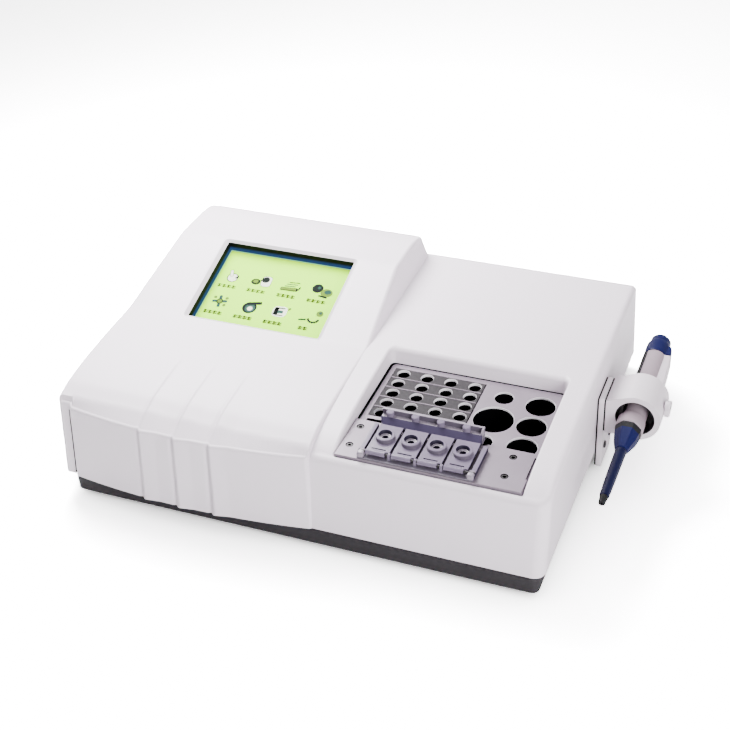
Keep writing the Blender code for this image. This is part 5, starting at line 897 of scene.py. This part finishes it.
def clear_frame():
    """Clear frame: rails with painted shade on their sides, a darker ledge at the guide, a grey floor that is
    painted shade under the hinge, knuckles and a pale block at each corner.
    """
    low, left, right, front = FRAME_LOW.z, FRAME_LOW.x, FRAME_HIGH.x, FRAME_LOW.y
    ledge_front, ledge_rear, ledge_low, ledge_top, slant = 0.0580, GUIDE_FRONT - GAP, 0.0852, 0.0898, 0.0035
    rings = [[(front_x, ledge_front, low), (rear_x, ledge_rear, low), (rear_x, ledge_rear, ledge_top),
              (front_x, ledge_front, ledge_low)]
             for rear_x, front_x in ((GUIDE_LOW.x, GUIDE_LOW.x + slant), (GUIDE_HIGH.x, GUIDE_HIGH.x))]
    body = rounded(built("clear_frame", [PURPLE, LILAC, PALE, GUIDE, SHADE], ringed(rings)), SMALL_ROUND)
    rail, rail_height, rail_front = 0.0038, 0.0040, front + 0.0012
    wide, deep, tall, block_round = 0.0056, 0.0078, 0.0052, 0.0017
    tools = []
    for index, (start, block_left) in enumerate(((left, left), (right - rail, right - wide))):
        rail_rear = ledge_front - 0.0020 * index + GAP
        rail_box = box((start, rail_front, low), (start + rail, rail_rear, low + rail_height))
        # The rails' sides are dark lilac: painted shade
        tools.append(darkened(rounded(built("rail_%d" % index, [LILAC, SHADE], rail_box), SMALL_ROUND), 1, 0))
        block_box = box((block_left, front, low), (block_left + wide, front + deep, low + tall))
        tools.append(rounded(built("corner_block_%d" % index, PALE, block_box), block_round, 4))
    floor, half = 0.0010, 0.0009
    floor_box = box((left + GAP, front, low), (right - GAP, PIN_Y + KNUCKLE, low + floor))
    # The floor takes the guide's grey: painted shade under the hinge
    tools.append(built("frame_floor", GUIDE, floor_box))
    turns = [pi * step / 10 for step in range(11)]
    outline = [(PIN_Y + KNUCKLE * cos(turn), PIN_Z + KNUCKLE * sin(turn)) for turn in turns]
    outline += [(PIN_Y - KNUCKLE, low + GAP), (PIN_Y + KNUCKLE, low + GAP)]
    for number, (before, after) in enumerate(zip(CHANNELS, CHANNELS[1:]), 1):
        centre = (before + after) / 2
        tools.append(built("knuckle_%d" % number, LILAC, prism(outline, centre - half, centre + half, "X")))
    combine(body, *tools, how="UNION")
    cut(body, SHADE, rod(PIN_BORE, left + GAP, right + OVERRUN, PIN, "X", 20))
    finished(body, "case", "clear_lilac", "lid_frame")


def hinge_pin():
    point = PIN_RADIUS * 0.7
    pin = turned(((point, PIN_LOW.x), (PIN_RADIUS, PIN_LOW.x + GAP), (PIN_RADIUS, PIN_HIGH.x - GAP),
                  (point, PIN_HIGH.x)), PIN, "X", 24)
    finished(built("hinge_pin", SCREW, pin), "case", "screw_steel", "lid_pin")


def lid(number):
    """Clear lid with a tall ring round its funnel, a groove by the hinge and one long knuckle."""
    x, (lid_low, lid_high) = CHANNELS[number - 1], LIDS[number - 1]
    low, half, crest = lid_low.z, (lid_high.x - lid_low.x) / 2 - GAP, lid_high.z - GAP
    bottom, top, hinge = low + 0.0020, low + 0.0042, PIN_Y + KNUCKLE + 0.0006
    panel = box((x - half, hinge, bottom), (x + half, lid_high.y, top))
    body = rounded(built("clear_lid_%d" % number, [LILAC, SHADE, PALE], panel), SMALL_ROUND, 3)
    # The lid's sides are dark lilac: painted shade in the gaps between the lids
    darkened(body, 1, 0)
    boss, step = 0.0076, 0.0004
    profile = ((boss - 0.0010, low), (boss, bottom), (boss, crest - step), (boss - step, crest))
    # The ring's wall takes the guide's grey: painted shade
    ring = built("boss", [LILAC, GUIDE], turned(profile, (x, CHANNEL_Y, 0.0), "Z", 48, [1, 1, 0]))
    left, right = x - 0.0085, x + 0.0067
    knuckle = built("knuckle", LILAC, rod(KNUCKLE, left, right, PIN, "X", 24))
    leaf = built("leaf", LILAC, box((left, PIN_Y, bottom), (right, PIN_Y + 2 * KNUCKLE, top - GAP)))
    combine(body, ring, knuckle, leaf, how="UNION")
    # Funnel: its walls and throat are dark lilac as painted shade; its seat is pale as a painted highlight
    throat, mouth, mouth_shift, seat = 0.0027, 0.0050, 0.0006, crest - 0.0032
    lower = built("throat", SHADE, rod(throat, low - OVERRUN, seat + GAP, (x, CHANNEL_Y, 0.0), "Z", 40))
    profile = ((mouth - 0.0012, seat), (mouth - 0.0006, seat + GAP), (mouth, crest - step),
               (mouth + step, crest), (mouth + step, crest + OVERRUN))
    funnel = turned(profile, (x, CHANNEL_Y + mouth_shift, 0.0), "Z", 40, [1, 0, 0, 0])
    # The pin bore and the groove are cut dark lilac: painted shade
    groove, groove_half, groove_width, groove_depth = hinge + 0.0016, 0.0058, 0.0012, 0.0008
    outline = loop(x - groove_half, groove, x + groove_half, groove + groove_width, 0.0004, 2)
    cuts = built("groove", SHADE, rod(PIN_BORE, x - half, x + half, PIN, "X", 20),
                 prism(outline, top - groove_depth, top + OVERRUN))
    combine(body, lower, built("funnel", [SHADE, PALE], funnel), cuts)
    finished(body, "lid_%d" % number, "clear_lilac", "channel_lid_%d" % number)


def tip_guide():
    """Bar behind the lids: a thin wall with four pale half columns in front, a pale plate at its end and a
    pale top, which is a painted highlight.
    """
    low, high, front, rear = GUIDE_LOW.z, GUIDE_HIGH.z, GUIDE_FRONT, GUIDE_HIGH.y
    wall, foot_top = 0.0020, low + 0.0078
    outline = ((front, low), (rear, low), (rear, high), (rear - wall, high), (rear - wall, foot_top),
               (front, foot_top))
    bar_shape = prism(outline, GUIDE_LOW.x, GUIDE_HIGH.x, "X")
    body = rounded(built("guide_bar", [GUIDE, PALE], bar_shape), SMALL_ROUND)
    # Upward faces take the pale finish: painted highlight on the bar's top
    for face in body.data.polygons:
        if face.normal.z > 0.5:
            face.material_index = 1
    radius, crest, shift = 0.0031, 0.0005, 0.0050
    profile = ((radius, foot_top - GAP), (radius, high - crest), (radius - crest, high))
    column_y = rear - wall - radius * 0.6
    tools = [built("column_%d" % index, LILAC, turned(profile, (x - shift, column_y, 0.0), "Z", 32))
             for index, x in enumerate(CHANNELS)]
    end, slant = 0.0013, 0.0020
    outline = ((front, low), (rear, low), (rear, high), (front + slant, high - GAP), (front, high - slant))
    tools.append(built("end_plate", PALE, prism(outline, GUIDE_HIGH.x - end, GUIDE_HIGH.x, "X")))
    combine(body, *tools, how="UNION")
    finished(body, "case", "guide_grey", "tip_guide")


# Holder
HOLDER_FACE, SHADE_SLAB, FOOT_OF_RING = COVER_RIGHT + GAP + 0.0055, 0.0010, 0.0380
HOLDER_MIDDLE, KNOB_HEIGHT = (HOLDER_FRONT + HOLDER_REAR) / 2, RING_Z + 0.0040
KNOB, KNOB_START = (0.0, HOLDER_MIDDLE, KNOB_HEIGHT), RING_X + RING_RADIUS + GAP


def mounting_plate():
    """Plate on the case's wall, with a thin black slab on each side: painted shade in the gaps to the case
    and to the clamp ring.
    """
    left, corner = COVER_RIGHT + GAP, 0.0030
    outline = loop(HOLDER_FRONT, 0.0, HOLDER_REAR, HOLDER_TOP, corner)
    shape = prism(outline, left + SHADE_SLAB, HOLDER_FACE, "X")
    body = rounded(built("mounting_plate", [HOLDER, BLACK_AND_SHADE], shape), 0.0007, 3)
    # Black slabs in the gaps: painted shade
    for low, start, end in ((GAP, left, left + SHADE_SLAB),
                            (FOOT_OF_RING, HOLDER_FACE - GAP, HOLDER_FACE + SHADE_SLAB)):
        outline = loop(HOLDER_FRONT + GAP, low, HOLDER_REAR - GAP, HOLDER_TOP - GAP, corner)
        cut(body, BLACK_AND_SHADE, prism(outline, start, end, "X"), how="UNION")
    finished(body, "case", "holder_white", "holder_plate")


def clamp_ring():
    start, first, last, screw = HOLDER_FACE + SHADE_SLAB + GAP, radians(108.0), radians(-118.0), 0.0025
    angles = [first + (last - first) * step / 48 for step in range(49)]
    outline = [(start, FOOT_OF_RING), (start, HOLDER_TOP)]
    outline += [(RING_X + RING_RADIUS * cos(angle), RING_Z + RING_RADIUS * sin(angle)) for angle in angles]
    ring = built("clamp_ring", [HOLDER, BLACK_AND_SHADE], prism(outline, HOLDER_FRONT, HOLDER_REAR, "Y"))
    # The screw hole and the bore are cut black: painted shade inside them
    cut(ring, BLACK_AND_SHADE, rod(screw, RING_X, RING_X + RING_RADIUS + OVERRUN, KNOB, "X", 24),
        rod(RING_BORE, HOLDER_FRONT - OVERRUN, HOLDER_REAR + OVERRUN, (RING_X, 0.0, RING_Z), "Y", 64))
    finished(rounded(ring, 0.0008, 3, 40.0), "case", "holder_white", "holder_ring")


def clamp_knob():
    """Three-lobed knob on its stem, with a recess cut black: painted shade."""
    radius, lobe, stem, stem_start = 0.0078, 0.20, 0.0022, RING_X + 0.0113
    angles = [2 * pi * step / 64 for step in range(64)]
    rings = []
    for place, size in ((0.0, 0.94), (0.0005, 1.0), (0.0034, 1.0), (0.0042, 0.90)):
        ring = []
        for angle in angles:
            reach = radius * (1.0 - lobe + lobe * cos(3 * angle)) * size
            ring.append(Vector(KNOB) + Vector((KNOB_START + place, reach * cos(angle), reach * sin(angle))))
        rings.append(ring)
    knob = built("clamp_grip", HOLDER, ringed(rings))
    cut(knob, HOLDER, rod(stem, stem_start, KNOB_START + 0.0021, KNOB, "X", 24), how="UNION")
    cut(knob, BLACK_AND_SHADE, rod(stem, KNOB_START + 0.0030, KNOB_START + 0.0060, KNOB, "X", 24))
    finished(knob, "knob", "holder_white", "clamp_knob")


def plate_fixings():
    shank, head, spread, height, face = 0.0014, 0.0032, 0.00875, 0.0190, HOLDER_FACE
    profile = ((shank, face - 0.0055), (shank, face + GAP), (head, face + GAP), (head, face + 0.0010),
               (0.0026, face + 0.0016), (0.0010, face + 0.0019))
    for number, y in enumerate((HOLDER_MIDDLE - spread, HOLDER_MIDDLE + spread), 1):
        fixing = built("plate_fixing_%d" % number, SCREW, turned(profile, (0.0, y, height), "X", 32))
        finished(fixing, "case", "screw_steel", "holder_screw_%d" % number)


# Pipette, along Y from the clamp ring's front
PIPETTE = CORNER @ Matrix.Translation((RING_X - 0.0022, HOLDER_FRONT, RING_Z - 0.0037)) @ Matrix.Rotation(
    radians(-0.7), 4, "Z") @ Matrix.Rotation(radians(3.5), 4, "X")
ZERO = (0.0, 0.0, 0.0)
COLLAR_FRONT, HANDLE_END, HEAD_END, GRIP_HALF = -0.0112, 0.0855, 0.1015, 0.0065
NOSE_FRONT = COLLAR_FRONT - 0.0245
SHAFT_END = NOSE_FRONT - 0.0540
STEM_BORE, BUTTON = 0.0039, 0.0087


def barrel(profile, steps, indices=None, turn=0.0):
    return turned(profile, ZERO, "Y", steps, indices, turn)


def along(radius, start, end, steps):
    return rod(radius, start, end, ZERO, "Y", steps)


def on_pipette(name, finishes, *shapes):
    return built(name, finishes, *shapes, matrix=PIPETTE)


def handle():
    """Handle with a white strip on top, black painted shade along its upper left side and a collar in front.
    """
    front, collar, grip, spigot, nose_bore = COLLAR_FRONT, 0.0113, 0.0104, 0.0083, 0.0097
    body = on_pipette("handle", [HANDLE, STRIP], barrel((
        (0.0108, front), (collar, front + 0.0006), (collar, -0.0006), (0.0110, 0.0010), (grip, 0.0040),
        (grip, HANDLE_END - 0.0040), (0.0101, HANDLE_END - 0.0015), (0.0094, HANDLE_END)), 64))
    inner, strip_start, strip_end = 0.0062, 0.0400, 0.0850
    outline = ((inner, strip_start), (0.0150, strip_start), (0.0156, strip_start + 0.0012),
               (0.0136, strip_end), (inner, strip_end))
    strip = rounded(on_pipette("strip", STRIP, prism(outline, -GRIP_HALF, GRIP_HALF)), 0.0010, 3)
    combine(body, strip, on_pipette("spigot", HANDLE, along(spigot, 0.0815, 0.0895, 48)), how="UNION")
    cut(body, HANDLE, along(nose_bore, front - OVERRUN, front + 0.0113, 48),
        along(STEM_BORE, 0.0765, 0.0935, 32), matrix=PIPETTE)
    # Faces behind the collar that turn to the upper left are black: painted shade
    left, up, most = 0.876, 0.482, 0.87
    for face in body.data.polygons:
        if face.normal.z * up - face.normal.x * left > most and face.center.y > 0.0:
            face.material_index = len(body.data.materials)
    body.data.materials.append(BLACK_AND_SHADE)
    finished(body, "pipette", "handle_grey", "pipette_body")


def nose():
    """Eight-sided blue cone with a black band under the collar: painted shade from the collar."""
    front, rear, band, plug, bore = NOSE_FRONT, COLLAR_FRONT, 0.0112, 0.0094, 0.0036
    cone = on_pipette("nose_cone", [BLUE, BLACK_AND_SHADE], barrel((
        (0.0052, front), (0.0056, front + 0.0006), (plug, rear - 0.0130), (0.0106, rear - 0.0060),
        (band, rear - 0.0014), (band, rear - GAP), (plug, rear - GAP), (plug, rear + 0.0110)), 8,
        [0, 0, 0, 1, 1, 1, 0], radians(22.5)))
    cut(cone, BLUE, along(bore, front - OVERRUN, front + 0.0080, 32), matrix=PIPETTE)
    finished(cone, "pipette", "pipette_blue", "pipette_nose")


def shaft():
    end, rear, plug = SHAFT_END, NOSE_FRONT, 0.0033
    finished(on_pipette("nozzle_shaft", NAVY, barrel((
        (0.0018, end - 0.0040), (0.0019, end), (0.0036, end), (0.0039, end + 0.0008), (0.0043, end + 0.0200),
        (0.0045, end + 0.0400), (0.0047, rear - 0.0010), (0.0045, rear - GAP), (plug, rear - GAP),
        (plug, rear + 0.0040)), 40)), "pipette", "shaft_navy", "pipette_shaft")


def tip():
    end, bore, seat, seat_start = SHAFT_END, 0.0010, 0.0022, SHAFT_END - 0.0043
    cone = on_pipette("nozzle_tip", BLACK_AND_SHADE, barrel((
        (0.0022, end - 0.0080), (0.0026, end - 0.0076), (0.0031, end - 0.0030), (0.0033, end - 0.0010),
        (0.0032, end - GAP)), 36))
    profile = ((bore, end - 0.0120), (bore, seat_start), (seat, seat_start), (seat, end + 0.0040))
    cut(cone, BLACK_AND_SHADE, barrel(profile, 24), matrix=PIPETTE)
    finished(cone, "pipette", "fixture_black", "pipette_tip")


def head():
    """Blue cap with a hooked finger rest, and a recess for the button."""
    start, shell, rest_low, spigot_bore = HANDLE_END + GAP, 0.0104, 0.0055, 0.0086
    cap = on_pipette("head_cap", BLUE, barrel((
        (0.0100, start), (0.0103, start + 0.0008), (shell, start + 0.0030), (shell, start + 0.0110),
        (0.0102, start + 0.0140), (0.0098, HEAD_END)), 64))
    outline = ((rest_low, start), (0.0126, start), (0.0127, start + 0.0054), (0.0114, start + 0.0112),
               (rest_low, start + 0.0118))
    rest = rounded(on_pipette("finger_rest", BLUE, prism(outline, -GRIP_HALF, GRIP_HALF)), 0.0008, 3)
    combine(cap, rest, how="UNION")
    spigot_end, recess, recess_start = 0.0898, BUTTON + 0.0002, 0.0966
    cut(cap, BLUE, barrel((
        (spigot_bore, start - OVERRUN), (spigot_bore, spigot_end), (STEM_BORE, spigot_end),
        (STEM_BORE, recess_start), (recess, recess_start), (recess, HEAD_END + OVERRUN)), 48), matrix=PIPETTE)
    finished(cap, "pipette", "pipette_blue", "pipette_head")


def push_button():
    rest, stem = HEAD_END + 0.0045, STEM_BORE - GAP
    finished(on_pipette("push_button", BLUE, barrel((
        (stem, 0.0831), (stem, rest - 0.0030), (BUTTON - 0.0001, rest - 0.0030), (BUTTON, rest - 0.0026),
        (BUTTON, rest + 0.0022), (0.0082, rest + 0.0033), (0.0066, rest + 0.0038)), 56)), "plunger",
        "pipette_blue", "plunger_button")


# What keeps its CAD form
def carried():
    repaint(STEEL, "screen_panel", "power_supply", "stirrer_motor")
    repaint(BOARD, "display_board", "main_board", "lamp_board", "detector_board")
    repaint(BLACK_AND_SHADE, "heater_plate", "buzzer", "fan_housing", "fan_rotor", "mains_inlet", "switch_frame",
            "power_rocker")
    repaint(SCREW, "data_port_1", "data_port_2", "stirrer_magnet", "temperature_probe",
            *["panel_screw_%d" % number for number in range(1, 5)])
    repaint(PANEL, "rear_panel")


# Studio
def pale_floor():
    """White floor whose tone is lifted for the camera, so that it reads as a bright studio sweep; ambient
    occlusion darkens it near the object as a painted contact shadow.
    """
    made = surface("studio_floor", (0.93, 0.925, 0.93), (0.95, 0.945, 0.95), (0.75, 0.85), 3.0, 0.01, 200.0,
                   specular=0.1)
    seen = node(made, "LightPath", "Is Camera Ray")
    lift = node(made, "MapRange", "Result", {"Value": seen, "To Min": 1.0, "To Max": 8.0})
    painted_contact_shadow = node(made, "AmbientOcclusion", "AO", {"Distance": 0.15})
    tone = node(made, "Math", "Value", {0: lift, 1: painted_contact_shadow}, operation="MULTIPLY")
    tint = node(made, "VectorMath", "Vector", {0: base_color(made), "Scale": tone}, operation="SCALE")
    return set_shader(made, Base_Color=tint)


def studio():
    """Floor that bends up behind the object, a pale world and three lights."""
    side, bend, radius, top = 3.0, 1.6, 0.8, 2.6
    turns = [pi / 2 * step / 8 for step in range(1, 9)]
    curve = [(bend + radius * sin(turn), radius - radius * cos(turn)) for turn in turns]
    rows = [(-side, 0.0), (bend, 0.0)] + curve + [(bend + radius, top)]
    mesh = bmesh.new()
    made = [[mesh.verts.new((x, y, z)) for x in (-side, side)] for y, z in rows]
    for near, far in zip(made, made[1:]):
        mesh.faces.new((near[0], near[1], far[1], far[0]))
    floor = item_of("studio_floor", mesh, pale_floor(), Matrix.Identity(4))
    floor.data.shade_smooth()
    world = bpy.data.worlds.new("studio")
    bpy.context.scene.world = world
    world.use_nodes = True
    background = world.node_tree.nodes["Background"]
    background.inputs["Color"].default_value = (1.0, 0.995, 1.0, 1.0)
    background.inputs["Strength"].default_value = 0.48
    aim = Vector((0.0, 0.0, 0.05))
    for name, place, size, power in (("key", (-0.32, 0.24, 0.60), 0.40, 22.0),
                                     ("fill", (1.05, -0.90, 0.58), 0.8, 36.0),
                                     ("top", (0.1, 0.4, 2.3), 2.0, 12.0)):
        light = bpy.data.lights.new(name, "AREA")
        light.size, light.energy = size, power
        lamp = bpy.data.objects.new(name, light)
        bpy.context.scene.collection.objects.link(lamp)
        lamp.location = place
        lamp.visible_camera = False
        lamp.rotation_euler = (aim - Vector(place)).to_track_quat("-Z", "Y").to_euler()


def camera():
    """Camera fitted to the photo: its direction, its roll and its focal length in the photo's pixels."""
    around, down, roll = radians(23.196), radians(35.574), radians(-3.427)
    focal, photo_width = 1400.146, 730.0
    back = Vector((sin(around) * cos(down), -cos(around) * cos(down), sin(down)))
    right = Vector((cos(around), sin(around), 0.0))
    up = back.cross(right)
    across = cos(roll) * right + sin(roll) * up
    over = -sin(roll) * right + cos(roll) * up
    eye = ORIGIN + Vector((0.585987, -0.73717, 0.759437))
    lens = bpy.data.cameras.new("photo_camera")
    lens.sensor_width = 36.0
    lens.lens = focal * lens.sensor_width / photo_width
    lens.clip_start = 0.01
    made = bpy.data.objects.new("photo_camera", lens)
    bpy.context.scene.collection.objects.link(made)
    made.matrix_world = Matrix.Translation(eye) @ Matrix((across, over, back)).transposed().to_4x4()
    bpy.context.scene.camera = made


cover()
tray()
feet()
display()
block()
insert()
plate()
plate_screws()
clear_frame()
hinge_pin()
for number in range(1, 5):
    lid(number)
tip_guide()
mounting_plate()
clamp_ring()
clamp_knob()
plate_fixings()
handle()
nose()
shaft()
tip()
head()
push_button()
carried()
studio()
camera()
